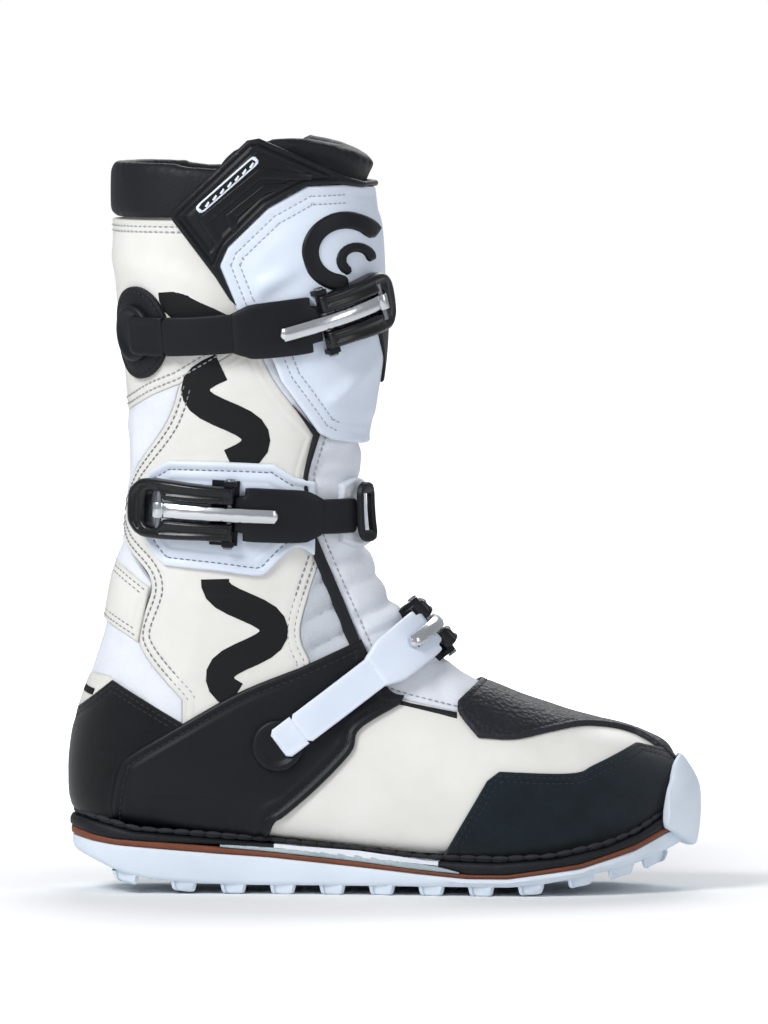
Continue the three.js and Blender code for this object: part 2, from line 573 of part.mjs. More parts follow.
// Lever, metal bar, pivot base and pin of one buckle, and their frames.
function buckle(name, pivot, { loop, axle, tip, base }) {
  const W = BUCKLE_HALF_WIDTH;
  const inner = W - ARM_WIDTH;
  const fork = [[-2, W], [loop - 7, W], [loop, W - 3.5], [loop, 3.5 - W], [loop - 7, -W], [-2, -W],
    [-2, -inner], [loop - 6, -inner], [loop - 6, inner], [-2, inner]];
  const axleFrame = frameAt(place(pivot, axle, 0), pivot.u);
  axleFrame.v = pivot.v;
  axleFrame.u = new THREE.Vector3().crossVectors(axleFrame.v, axleFrame.n).normalize();
  axleFrame.n = new THREE.Vector3().crossVectors(axleFrame.u, axleFrame.v).normalize();
  const lever = shell(LEVER).intersect(cutLocal(pivot, fork, -30, 20))
    .add(rod(axleFrame, 0, AXLE_HEIGHT, inner + 0.6, PIN_RADIUS))
    .subtract(rod(pivot, 0, PIVOT_HEIGHT, W + 4, PIN_RADIUS + GAP));
  add(`lever_${name}`, lever, "black_plastic");
  const blade = [[axle, 3.6], [axle, -3.6], [tip + 4, -3.2], [tip, 0], [tip + 4, 3.2]];
  const bar = shell(BAR).intersect(cutLocal(pivot, blade, -30, 20))
    .add(rod(axleFrame, 0, AXLE_HEIGHT, 3.6, 3.1))
    .subtract(rod(axleFrame, 0, AXLE_HEIGHT, 5, PIN_RADIUS + GAP))
    .subtract(rod(pivot, 0, PIVOT_HEIGHT, 5, PIN_RADIUS + GAP));
  add(`bar_${name}`, bar, "aluminium");
  const ear = (sign) => cutLocal(pivot, rectangle(-3, 3, sign > 0 ? W + 0.4 : -W - 2.6,
    sign > 0 ? W + 2.6 : -W - 0.4), base[1] - 3, 10.2);
  const foot = shell(base).intersect(cutLocal(pivot, rectangle(-4.4, 9, -W - 2.6, W + 2.6), -12, 14));
  const ears = ear(1).add(ear(-1)).subtract(lastSolid(base[0] + 0.1));
  const stand = foot.add(ears).subtract(rod(pivot, 0, PIVOT_HEIGHT, W + 5, PIN_RADIUS + GAP));
  add(`pivot_base_${name}`, stand, "black_plastic");
  const head = (sign) => cylinderAlong(local(pivot, 0, sign * (W + 2.95), PIVOT_HEIGHT),
    local(pivot, 0, sign * (W + 4), PIVOT_HEIGHT), 2.4);
  const pin = rod(pivot, 0, PIVOT_HEIGHT, W + 3.4, PIN_RADIUS).add(head(1)).add(head(-1));
  add(`pin_${name}`, pin, "steel");
}

// The strap with its moulded head, cut from the side view and kept clear of the pivot.
function strap(name, pivot, bandOutline, headOutline, materialName) {
  const clear = cutLocal(pivot, rectangle(-6.2, 60, -60, 60), -40, 30);
  add(`strap_${name}`, shell(STRAP).intersect(lateral(bandOutline)).subtract(clear), materialName);
  add(`strap_head_${name}`, shell(STRAP_HEAD).intersect(lateral(headOutline)).subtract(clear),
    materialName);
}

function disc(name, x, z, radius, range) {
  const circle = Array.from({ length: 24 }, (_, i) => {
    const a = (Math.PI * i) / 12;
    return [x + radius * Math.cos(a), z + radius * Math.sin(a)];
  });
  add(name, shell(range).intersect(lateral(circle)), "black_plastic");
}

function topBuckle() {
  const pivot = frameAt(place(SIDE_VIEW, -31, 276), new THREE.Vector3(0.86, 0.45, 0.27));
  buckle("top", pivot, { loop: 36, axle: 27, tip: -20, base: [4.2, 4.9] });
  const flange = [[-132, 288], [-126, 292], [-112, 292], [-103, 284], [-103, 256], [-112, 248.5],
    [-126, 248.5], [-132, 253]];
  add("anchor_flange_top", shell([0.35, 2.9]).intersect(lateral(flange)), "black_plastic");
  disc("anchor_disc_top", -117.6, 270.2, 11, [3.2, 6.4]);
  strap("top", pivot, [[-105.8, 278.4], [-66.4, 282.2], [-66.4, 264.8], [-105.8, 262.2]],
    [[-66, 283.4], [-58.5, 287.3], [-30, 289.2], [-30, 262], [-58.5, 261.7], [-66, 264]], "black_plastic");
}

function middleBuckle() {
  const pivot = frameAt(place(SIDE_VIEW, -73.9, 184.3), new THREE.Vector3(-1, 0, 0.05));
  buckle("middle", pivot, { loop: 46, axle: 29, tip: -23, base: [2.8, 4.4] });
  const ringSeat = { t: 6.85, turn: -0.42 };
  const ring = frameAt(ringSeat, new THREE.Vector3(-0.5, -0.8, 0.02));
  const outer = [[-7, 10], [-4, 13], [4, 13], [6.6, 10], [6.6, -10], [4, -13], [-4, -13], [-7, -10]];
  const slot = [[-4, 8.6], [3.6, 8.6], [3.6, -8.6], [-4, -8.6]];
  const loopRing = cutLocal(ring, outer, 8.2, 11.2).subtract(cutLocal(ring, slot, 7, 12));
  add("ring_middle", loopRing, "black_plastic");
  const tab = shell([0.5, 4]).intersect(lateral([[-26, 198], [20, 198], [20, 167], [-26, 169]]));
  const strut = cutLocal(ring, rectangle(-6.8, -4.6, -6, 6), 2, 7.8).subtract(lastSolid(2));
  add("ring_tab", tab.add(strut), "ivory_leather");
  const eyeRod = (radius, half) => cylinderAlong(local(ring, 5.1, -half, 9.7), local(ring, 5.1, half, 9.7),
    radius);
  const clear = cutLocal(pivot, rectangle(-6.2, 60, -60, 60), -40, 30);
  const strip = shell(STRAP).intersect(lateral([[-38, 191.5], [5, 190.6], [5, 174.6], [-38, 175.4]]));
  const keep = cutLocal(ring, rectangle(5.1, 60, -40, 40), -30, 30);
  const eyed = strip.intersect(keep).add(eyeRod(4, 8)).subtract(eyeRod(2.45, 9));
  add("strap_middle", eyed, "black_plastic");
  const headOutline = [[-38.4, 191.6], [-46, 197.2], [-72, 197.2], [-72, 171], [-46, 171], [-38.4, 175.4]];
  add("strap_head_middle", shell(STRAP_HEAD).intersect(lateral(headOutline)).subtract(clear),
    "black_plastic");
}

function lowBuckle() {
  const pivot = frameAt({ t: 11.67, turn: -0.12 }, new THREE.Vector3(0, 1, 0));
  pivot.v = new THREE.Vector3(-0.6, 0, 0.8);
  pivot.u = new THREE.Vector3(0, 1, 0);
  pivot.n = new THREE.Vector3().crossVectors(pivot.u, pivot.v).normalize();
  buckle("low", pivot, { loop: 32, axle: 24, tip: -20, base: [0.5, 4.4] });
  const anchor = [-50.9, 72];
  disc("anchor_disc_low", ...anchor, 12.3, [2.8, 6]);
  const at = (s, w) => [anchor[0] + 0.8 * s - 0.6 * w, anchor[1] + 0.6 * s + 0.8 * w];
  strap("low", pivot, [at(13, 8), at(61.6, 8), at(61.6, -8), at(13, -8)],
    [at(62, 8.4), at(67, 12.5), at(110, 12.5), at(110, -12.5), at(67, -12.5), at(62, -8.4)],
    "white_plastic");
}

sole();
upper();
inside();
collars();
overlays();
shinFlap();
topBuckle();
middleBuckle();
lowBuckle();

export default boot;
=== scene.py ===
"""A right trials boot in Blender: leather upper, shin flap, buckles, welt and lugged sole."""
import json
import math

import bmesh
import bpy
import numpy as np
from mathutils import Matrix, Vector, noise
from mathutils.geometry import delaunay_2d_cdt


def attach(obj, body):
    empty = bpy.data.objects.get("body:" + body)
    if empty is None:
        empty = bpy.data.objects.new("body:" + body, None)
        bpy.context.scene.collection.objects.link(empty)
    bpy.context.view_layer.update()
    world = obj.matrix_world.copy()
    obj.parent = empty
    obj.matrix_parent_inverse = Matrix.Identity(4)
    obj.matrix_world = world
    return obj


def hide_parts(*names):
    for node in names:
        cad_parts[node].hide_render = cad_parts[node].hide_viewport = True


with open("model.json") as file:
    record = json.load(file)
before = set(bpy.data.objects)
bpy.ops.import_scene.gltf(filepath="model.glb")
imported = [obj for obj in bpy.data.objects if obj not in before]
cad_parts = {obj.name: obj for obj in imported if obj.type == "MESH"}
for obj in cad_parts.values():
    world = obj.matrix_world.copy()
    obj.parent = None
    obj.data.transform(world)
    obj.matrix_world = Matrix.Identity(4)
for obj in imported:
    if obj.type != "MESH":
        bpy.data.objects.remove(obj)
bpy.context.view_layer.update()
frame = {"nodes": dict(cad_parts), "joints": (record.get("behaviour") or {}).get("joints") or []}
NODES = frame["nodes"]
JOINTS = {j["name"]: j for j in frame["joints"]}
MM = 0.001
SHIFT = np.array([-0.35, 3.75, 0.0])  # mm, the frame's origin under the middle of the boot

# ================================================================ lining, footbed and board
# The sock of knitted fabric that lines the boot, the footbed in it and the fibre board under it.
# The lining is glued inside the leather, so it has the shape of the leg and foot.
# Every soft piece lies on the shape of the foot and leg inside the boot. The shape is a fan of
# rings from the top edge to the toe. A place on it is (t, f): t counts rings from the top, f is
# the share of the way round from the front: 0 front, -1 or 1 back, negative on the lateral side.
# Ring: front [x, z], back or bottom [x, z], half width, centre shift, widest place, roundness.
RINGS = [
    (-9, 380, -130, 372, 51, 0, 0.5, 2.3, 2.3), (-9, 345, -131, 340, 51, 0, 0.5, 2.3, 2.3),
    (-5, 315, -130.5, 312, 51, 0, 0.5, 2.3, 2.3), (-4, 285, -128.5, 283, 51, 0, 0.5, 2.3, 2.3),
    (-5, 258, -125.5, 256, 50, 0, 0.5, 2.3, 2.3), (-9, 230, -123.4, 228, 48, 0, 0.5, 2.3, 2.3),
    (-13, 203, -123.4, 200, 46, 0, 0.5, 2.3, 2.3), (-12, 180, -126, 172, 44, 0, 0.5, 2.3, 2.3),
    (-8, 163, -131, 148, 43, 0, 0.5, 2.3, 2.3), (-3, 149, -135, 126, 42.5, 0, 0.5, 2.3, 2.3),
    (4, 138, -140, 107, 42, 0, 0.5, 2.3, 2.4), (12, 129, -147, 86, 41.5, 0, 0.5, 2.3, 2.5),
    (20, 120, -150.5, 58, 41, 0, 0.5, 2.3, 2.6), (28, 112, -146, 38, 41, 0, 0.5, 2.3, 3.0),
    (36, 105.5, -120, 31.5, 41, 0, 0.52, 2.3, 4.0), (45, 100.5, -85, 28.5, 41.5, -0.5, 0.55, 2.3, 5.0),
    (55, 96.5, -48, 25.5, 43, -1.5, 0.6, 2.3, 5.0), (66, 92, -12, 21.5, 45.5, -2, 0.66, 2.3, 5.0),
    (78, 88, 22, 18.5, 48.5, -2, 0.7, 2.3, 5.0), (90, 84, 54, 17.5, 50, -2, 0.72, 2.3, 5.0),
    (103, 80.5, 82, 19.5, 48, -1, 0.72, 2.3, 5.0), (116, 77, 106, 24.5, 43, 1, 0.7, 2.3, 4.5),
    (127, 73, 123, 31, 34.5, 3, 0.66, 2.3, 4.0), (135, 68.5, 134, 38, 23, 4.5, 0.6, 2.3, 3.0),
    (139.5, 61, 139.5, 47, 10, 5.5, 0.55, 2.3, 2.3),
]
T_STEPS = 480
F_STEPS = 240
T_MAX = len(RINGS) - 1


def spline(values, t):
    """Catmull-Rom through rows of values at whole t."""
    values = np.asarray(values, float)
    i = np.clip(np.floor(t).astype(int), 0, len(values) - 2)
    u = (t - i)[:, None]
    a, b, c, d = (values[np.clip(i + k, 0, len(values) - 1)] for k in (-1, 0, 1, 2))
    return b + 0.5 * u * (c - a + u * (2 * a - 5 * b + 4 * c - d + u * (3 * (b - c) + d - a)))


def build_last():
    t = np.linspace(0, T_MAX, T_STEPS + 1)
    fx, fz, kx, kz, half, centre, widest, round_f, round_k = spline(RINGS, t).T
    fine = np.linspace(0, math.pi, 361)
    cos, sin = np.cos(fine), np.clip(np.sin(fine), 0, 1)
    power = np.where(cos >= 0, 2 / round_f[:, None], 2 / round_k[:, None])
    bow = np.abs(cos) ** power
    along = np.where(cos >= 0, widest[:, None] * (1 - bow), widest[:, None] + (1 - widest[:, None]) * bow)
    x = fx[:, None] + (kx - fx)[:, None] * along
    z = fz[:, None] + (kz - fz)[:, None] * along
    y = half[:, None] * sin ** power
    step = np.sqrt(np.diff(x) ** 2 + np.diff(y) ** 2 + np.diff(z) ** 2)
    run = np.concatenate([np.zeros((len(t), 1)), np.cumsum(step, 1)], 1)
    share = np.linspace(0, 1, F_STEPS // 2 + 1)
    side = np.zeros((len(t), len(share), 3))
    for i in range(len(t)):
        goal = share * run[i, -1]
        for k, row in enumerate((x[i], y[i], z[i])):
            side[i, :, k] = np.interp(goal, run[i], row)
    lateral = side[:, ::-1].copy()
    lateral[:, :, 1] *= -1
    points = np.concatenate([lateral, side[:, 1:]], 1)
    points[:, :, 1] += centre[:, None]
    dt = np.gradient(points, axis=0)
    df = np.gradient(points, axis=1)
    df[:, 0] = df[:, -1] = (points[:, 1] - points[:, -2])
    normal = np.cross(df, dt)
    normal /= np.maximum(np.linalg.norm(normal, axis=2, keepdims=True), 1e-9)
    middle = (points[:, :1] + points[:, F_STEPS // 2: F_STEPS // 2 + 1]) / 2
    flip = np.sign(np.sum((points - middle) * normal, axis=2).mean())
    travel = np.linalg.norm(np.diff(points[:, [0, F_STEPS // 4, F_STEPS // 2]], axis=0), axis=2).mean(1)
    return points, normal * flip, run[:, -1], np.concatenate([[0], np.cumsum(travel)])


LAST, NORMAL, HALF_ROUND, RUN = build_last()
T_AXIS = np.linspace(0, T_MAX, T_STEPS + 1)


def on_last(t, f, offset=0.0):
    """Points and normals of the last at (t, f), moved outward by offset, in mm."""
    row = np.clip(np.asarray(t, float) / T_MAX * T_STEPS, 0, T_STEPS - 1e-6)
    column = np.mod(np.asarray(f, float) + 1, 2) / 2 * F_STEPS
    i, j = np.floor(row).astype(int), np.floor(column).astype(int) % F_STEPS
    u, v = (row - np.floor(row))[..., None], (column - np.floor(column))[..., None]

    def mix(table):
        return ((table[i, j] * (1 - v) + table[i, j + 1] * v) * (1 - u)
                + (table[i + 1, j] * (1 - v) + table[i + 1, j + 1] * v) * u)

    normal = mix(NORMAL)
    normal /= np.linalg.norm(normal, axis=-1, keepdims=True)
    return mix(LAST) + normal * np.asarray(offset)[..., None], normal


AXIS_X, AXIS_Y, AXIS_Z = np.eye(3)
LATERAL = np.zeros(LAST.shape[:2], bool)
LATERAL[:, : F_STEPS // 2 + 1] = True


def locate(points, origin=np.zeros(3), u=AXIS_X, v=AXIS_Z, keep=LATERAL, lift=0):
    """(t, f) of the places, lifted off the last, that are seen at points along u and v from an origin."""
    points = np.atleast_2d(np.asarray(points, float))
    raised = LAST + lift * NORMAL - origin
    flat = np.stack([raised @ u, raised @ v], -1)
    rows, columns = np.nonzero(keep)
    seen = flat[rows, columns]
    out = np.zeros((len(points), 2))
    for n, p in enumerate(points):
        k = np.argmin(((seen - p) ** 2).sum(1))
        i, j = rows[k], columns[k]
        i0, j0 = min(max(i, 1), T_STEPS - 1), min(max(j, 1), F_STEPS - 1)
        jac = np.stack([(flat[i0 + 1, j0] - flat[i0 - 1, j0]) / 2,
                        (flat[i0, j0 + 1] - flat[i0, j0 - 1]) / 2], 1)
        step = np.linalg.solve(jac.T @ jac + 0.02 * np.eye(2), jac.T @ (p - flat[i, j]))
        step = np.clip(step, -1, 1)
        out[n] = (i + step[0]) / T_STEPS * T_MAX, (j + step[1]) / F_STEPS * 2 - 1
    out[:, 0] = np.clip(out[:, 0], 0, T_MAX)
    return out


def curve(points, corners=None, step=1.5, closed=False):
    """A smooth line through points, sharp at the numbered corners (all of them by default)."""
    points = np.asarray(points, float)
    count = len(points)
    corners = list(range(count)) if corners is None else sorted(corners)
    if not closed:
        corners = sorted(set(corners) | {0, count - 1})
    spans = list(zip(corners, corners[1:])) + ([(corners[-1], corners[0] + count)] if closed else [])
    out, marks = [], {}
    for a, b in spans:
        knots = points[np.arange(a, b + 1) % count]
        for k in range(len(knots) - 1):
            length = np.linalg.norm(knots[k + 1] - knots[k])
            marks[(a + k) % count] = len(out)
            u = np.arange(0, 1, 1 / max(1, round(length / step)))
            out.extend(spline(knots, u + k))
    if not closed:
        marks[count - 1] = len(out)
        out.append(points[-1])
    return np.array(out), marks


def curve_closed(points, step=1.5):
    """A closed line with straight sides between points."""
    return curve(points, step=step, closed=True)[0]


def around(path, medial=None, back=False, corners=None, open_end=False, lift=0):
    """An outline across the front or back line: a lateral path and its mirror image.

    With an open end the two paths are joined by a row round the boot at the last point.
    """
    seam = 1.0 if back else 0.0
    halves = []
    for line in (path, medial or path):
        line, marks = curve(line, corners)
        places = locate(line, lift=lift)
        places[0, 1] = -seam
        if not open_end:
            places[-1, 1] = -seam
        halves.append((places, marks))
    lateral, marks = halves[0]
    mirror, own_marks = halves[1]
    mirror[:, 1] *= -1
    if back:
        lateral[:, 1] += 2
    row = np.zeros((0, 2))
    if open_end:
        f = np.linspace(lateral[-1, 1], mirror[-1, 1], 60)[1:]
        row = np.stack([np.full(len(f), lateral[-1, 0]), f], 1)
    joined = np.concatenate([lateral, row, mirror[::-1][1:-1]])
    total = len(joined)
    marks = {k: i % total for k, i in marks.items()}
    for k, i in own_marks.items():
        marks[-1 - k] = (total - i) % total
    return joined, marks


def one_side(points, corners=None, medial=False, **view):
    """A closed outline on one side, from its side view (or another view)."""
    line, marks = curve(points, corners, closed=True)
    places = locate(line, **view)
    if medial:
        places[:, 1] *= -1
    return places, marks



# The finishes: grain for the bump and the gloss, clouds and a change of tone along the edges for the colour.
def linear(hex_code):
    channels = [int(hex_code[k:k + 2], 16) / 255 for k in (0, 2, 4)]
    return (*[c / 12.92 if c <= 0.04045 else ((c + 0.055) / 1.055) ** 2.4 for c in channels], 1)


def group(name, inputs, outputs):
    tree = bpy.data.node_groups.new(name, "ShaderNodeTree")
    for label, kind, value in inputs:
        socket = tree.interface.new_socket(label, in_out="INPUT", socket_type=kind)
        if value is not None:
            socket.default_value = value
    for label, kind in outputs:
        tree.interface.new_socket(label, in_out="OUTPUT", socket_type=kind)
    return tree, tree.nodes.new("NodeGroupInput"), tree.nodes.new("NodeGroupOutput")


def node(tree, kind, **values):
    made = tree.nodes.new(kind)
    for key, value in values.items():
        if key in made.inputs:
            made.inputs[key].default_value = value
        else:
            setattr(made, key, value)
    return made


def grain_group():
    """Leather or moulded grain: pebbles, fine pores and slow creases as one height."""
    tree, source, sink = group("Grain", [("Pebble", "NodeSocketFloat", 700), ("Pores", "NodeSocketFloat", 0.5),
                                         ("Crease", "NodeSocketFloat", 0.3)], [("Height", "NodeSocketFloat")])
    place = node(tree, "ShaderNodeTexCoord")
    cells = node(tree, "ShaderNodeTexVoronoi", feature="SMOOTH_F1", Smoothness=0.4)
    pores = node(tree, "ShaderNodeTexNoise", Scale=2600, Detail=3)
    crease = node(tree, "ShaderNodeTexNoise", Scale=90, Detail=4, Distortion=0.6)
    tree.links.new(place.outputs["Object"], cells.inputs["Vector"])
    tree.links.new(place.outputs["Object"], pores.inputs["Vector"])
    tree.links.new(place.outputs["Object"], crease.inputs["Vector"])
    tree.links.new(source.outputs["Pebble"], cells.inputs["Scale"])
    fine = node(tree, "ShaderNodeMath", operation="MULTIPLY_ADD")
    tree.links.new(pores.outputs["Fac"], fine.inputs[0])
    tree.links.new(source.outputs["Pores"], fine.inputs[1])
    tree.links.new(cells.outputs["Distance"], fine.inputs[2])
    both = node(tree, "ShaderNodeMath", operation="MULTIPLY_ADD")
    tree.links.new(crease.outputs["Fac"], both.inputs[0])
    tree.links.new(source.outputs["Crease"], both.inputs[1])
    tree.links.new(fine.outputs[0], both.inputs[2])
    tree.links.new(both.outputs[0], sink.inputs["Height"])
    return tree


def tone_group():
    """Colour variation: clouds over the whole piece, and a change of tone along its edges."""
    colour = "NodeSocketColor"
    tree, source, sink = group("Cloud and edge tone", [("Colour", colour, (1, 1, 1, 1)), ("Cloud", colour, (1, 1, 1, 1)),
                                          ("Edge", colour, (1, 1, 1, 1)), ("Scale", "NodeSocketFloat", 25),
                                          ("Edge amount", "NodeSocketFloat", 0.5)],
                               [("Colour", colour), ("Rim", "NodeSocketFloat")])
    place = node(tree, "ShaderNodeTexCoord")
    clouds = node(tree, "ShaderNodeTexNoise", Detail=5, Roughness=0.6)
    tree.links.new(place.outputs["Object"], clouds.inputs["Vector"])
    tree.links.new(source.outputs["Scale"], clouds.inputs["Scale"])
    spread = node(tree, "ShaderNodeMapRange")
    spread.inputs["From Min"].default_value = 0.35
    spread.inputs["From Max"].default_value = 0.7
    tree.links.new(clouds.outputs["Fac"], spread.inputs["Value"])
    tone = node(tree, "ShaderNodeMix", data_type="RGBA")
    tree.links.new(spread.outputs["Result"], tone.inputs["Factor"])
    tree.links.new(source.outputs["Colour"], tone.inputs["A"])
    tree.links.new(source.outputs["Cloud"], tone.inputs["B"])
    # The "rim" attribute mixes in the edge colour along each outline: darker on the pale pieces, lighter on the
    # dark ones.
    rim = node(tree, "ShaderNodeAttribute", attribute_name="rim")
    broken = node(tree, "ShaderNodeMath", operation="MULTIPLY")
    tree.links.new(rim.outputs["Fac"], broken.inputs[0])
    tree.links.new(source.outputs["Edge amount"], broken.inputs[1])
    edge_tone_weight = node(tree, "ShaderNodeMix", data_type="RGBA")
    tree.links.new(broken.outputs[0], edge_tone_weight.inputs["Factor"])
    tree.links.new(tone.outputs["Result"], edge_tone_weight.inputs["A"])
    tree.links.new(source.outputs["Edge"], edge_tone_weight.inputs["B"])
    tree.links.new(edge_tone_weight.outputs["Result"], sink.inputs["Colour"])
    tree.links.new(rim.outputs["Fac"], sink.inputs["Rim"])
    return tree


GRAIN = grain_group()
TONE_GROUP = tone_group()


def finish(name, colour, cloud, edge, rough, metal=0.0, pebble=700, pores=0.5, crease=0.3, bump=0.2,
           depth=0.15, edge_amount=0.5, sheen=0.0, coat=0.0, cloud_scale=25, specular=0.5):
    """A material of one finish: clouds and a change of tone along the edges for colour, grain for bump,
    roughness that varies a little.
    """
    material = bpy.data.materials.new(name)
    material.use_nodes = True
    tree = material.node_tree
    shader = tree.nodes["Principled BSDF"]
    tone_node = node(tree, "ShaderNodeGroup", node_tree=TONE_GROUP)
    for label, value in (("Colour", linear(colour)), ("Cloud", linear(cloud)), ("Edge", linear(edge)),
                         ("Scale", cloud_scale), ("Edge amount", edge_amount)):
        tone_node.inputs[label].default_value = value
    grain = node(tree, "ShaderNodeGroup", node_tree=GRAIN)
    for label, value in (("Pebble", pebble), ("Pores", pores), ("Crease", crease)):
        grain.inputs[label].default_value = value
    bumps = node(tree, "ShaderNodeBump", Strength=bump, Distance=depth * MM)
    vary = node(tree, "ShaderNodeMapRange")
    vary.inputs["To Min"].default_value = rough - 0.06
    vary.inputs["To Max"].default_value = rough + 0.08
    tree.links.new(grain.outputs["Height"], vary.inputs["Value"])
    tree.links.new(vary.outputs["Result"], shader.inputs["Roughness"])
    tree.links.new(tone_node.outputs["Colour"], shader.inputs["Base Color"])
    tree.links.new(grain.outputs["Height"], bumps.inputs["Height"])
    tree.links.new(bumps.outputs["Normal"], shader.inputs["Normal"])
    shader.inputs["Metallic"].default_value = metal
    shader.inputs["Sheen Weight"].default_value = sheen
    shader.inputs["Coat Weight"].default_value = coat
    shader.inputs["Coat Roughness"].default_value = 0.25
    shader.inputs["Specular IOR Level"].default_value = specular
    return material


# Panels: a closed sheet over any outline on the last.
def inside(points, loops):
    """Which points lie inside closed loops, by the even-odd rule."""
    result = np.zeros(len(points), bool)
    for loop in loops:
        x0, y0 = loop.T
        x1, y1 = np.roll(loop, -1, 0).T
        for a, b, c, d in zip(x0, y0, x1, y1):
            if b != d:
                span = (b > points[:, 1]) != (d > points[:, 1])
                result ^= span & (points[:, 0] < (c - a) * (points[:, 1] - b) / (d - b) + a)
    return result


class Patch:
    """A region of the last inside an outline of (t, f), laid flat in mm."""

    def __init__(self, outline, marks=None, centre=0.0, holes=()):
        self.centre = centre
        self.marks = marks or {}
        self.flat = self.to_flat(np.asarray(outline))
        self.loops = [self.flat] + [self.to_flat(hole) for hole in holes]

    def to_flat(self, places):
        half = np.interp(places[:, 0], T_AXIS, HALF_ROUND)
        return np.stack([(places[:, 1] - self.centre) * half, np.interp(places[:, 0], T_AXIS, RUN)], 1)

    def to_last(self, flat):
        t = np.interp(flat[:, 1], RUN, T_AXIS)
        return t, flat[:, 0] / np.interp(t, T_AXIS, HALF_ROUND) + self.centre

    def point(self, flat, offset=0.0):
        return on_last(*self.to_last(flat), offset)

    def inset(self, distance):
        """The outline moved inward by a distance in mm, and which of its points are true."""
        here, normal = self.point(self.flat)
        ahead = np.roll(here, -1, 0) - np.roll(here, 1, 0)
        inward = np.cross(normal, ahead)
        inward /= np.maximum(np.linalg.norm(inward, axis=1, keepdims=True), 1e-9)
        h = 0.5
        da = (self.point(self.flat + [h, 0])[0] - here) / h
        db = (self.point(self.flat + [0, h])[0] - here) / h
        jac = np.stack([da, db], 2)
        square = np.einsum("nki,nkj->nij", jac, jac) + 1e-6 * np.eye(2)
        step = np.linalg.solve(square, np.einsum("nki,nk->ni", jac, inward)[..., None])[..., 0]
        if inside(self.flat + step * 0.4, [self.flat]).mean() < 0.5:
            step = -step
        moved = self.flat + step * distance
        true = inside(moved, self.loops) & (self.edge_distance(self.point(moved)[0]) > 0.93 * distance)
        return moved, true

    def edge_distance(self, points):
        """Straight distance in mm from points to the outline."""
        corners = [self.point(loop)[0] for loop in self.loops]
        a = np.concatenate(corners)
        ab = np.concatenate([np.roll(c, -1, 0) - c for c in corners])
        length = np.maximum((ab ** 2).sum(1), 1e-9)
        best = np.full(len(points), 1e9)
        for start in range(0, len(points), 2000):
            part = points[start:start + 2000, None]
            u = np.clip(((part - a) * ab).sum(2) / length, 0, 1)
            gap = part - a - u[..., None] * ab
            best[start:start + 2000] = np.sqrt((gap ** 2).sum(2).min(1))
        return best


def grid_inside(patch, spacing, margin):
    low, high = patch.flat.min(0), patch.flat.max(0)
    rows = np.arange(low[1], high[1], spacing * 0.87)
    points = []
    for n, b in enumerate(rows):
        a = np.arange(low[0] + (n % 2) * spacing / 2, high[0], spacing)
        points.append(np.stack([a, np.full(len(a), b)], 1))
    points = np.concatenate(points)
    points = points[inside(points, patch.loops)]
    return points[patch.edge_distance(patch.point(points)[0]) > margin]


def mesh_object(name, points, faces, material, attribute=None):
    """Points in mm of the last's frame become an object in metres of the shared frame."""
    mesh = bpy.data.meshes.new(name)
    mesh.from_pydata(((np.asarray(points) + SHIFT) * MM).tolist(), [], faces)
    if attribute is not None:
        rim = mesh.attributes.new("rim", "FLOAT", "POINT")
        rim.data.foreach_set("value", np.asarray(attribute, np.float32))
    mesh.materials.append(material)
    made = bpy.data.objects.new(name, mesh)
    bpy.context.scene.collection.objects.link(made)
    mesh.shade_smooth()
    mesh.set_sharp_from_angle(angle=math.radians(50))
    return made


def outward(made):
    """Turns a closed mesh's faces outward."""
    work = bmesh.new()
    work.from_mesh(made.data)
    bmesh.ops.recalc_face_normals(work, faces=work.faces)
    if work.calc_volume(signed=True) < 0:
        bmesh.ops.reverse_faces(work, faces=work.faces)
    work.to_mesh(made.data)
    work.free()
    return made


def belongs(made, body, replaced=()):
    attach(made, body)
    if replaced:
        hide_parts(*replaced)
    return made


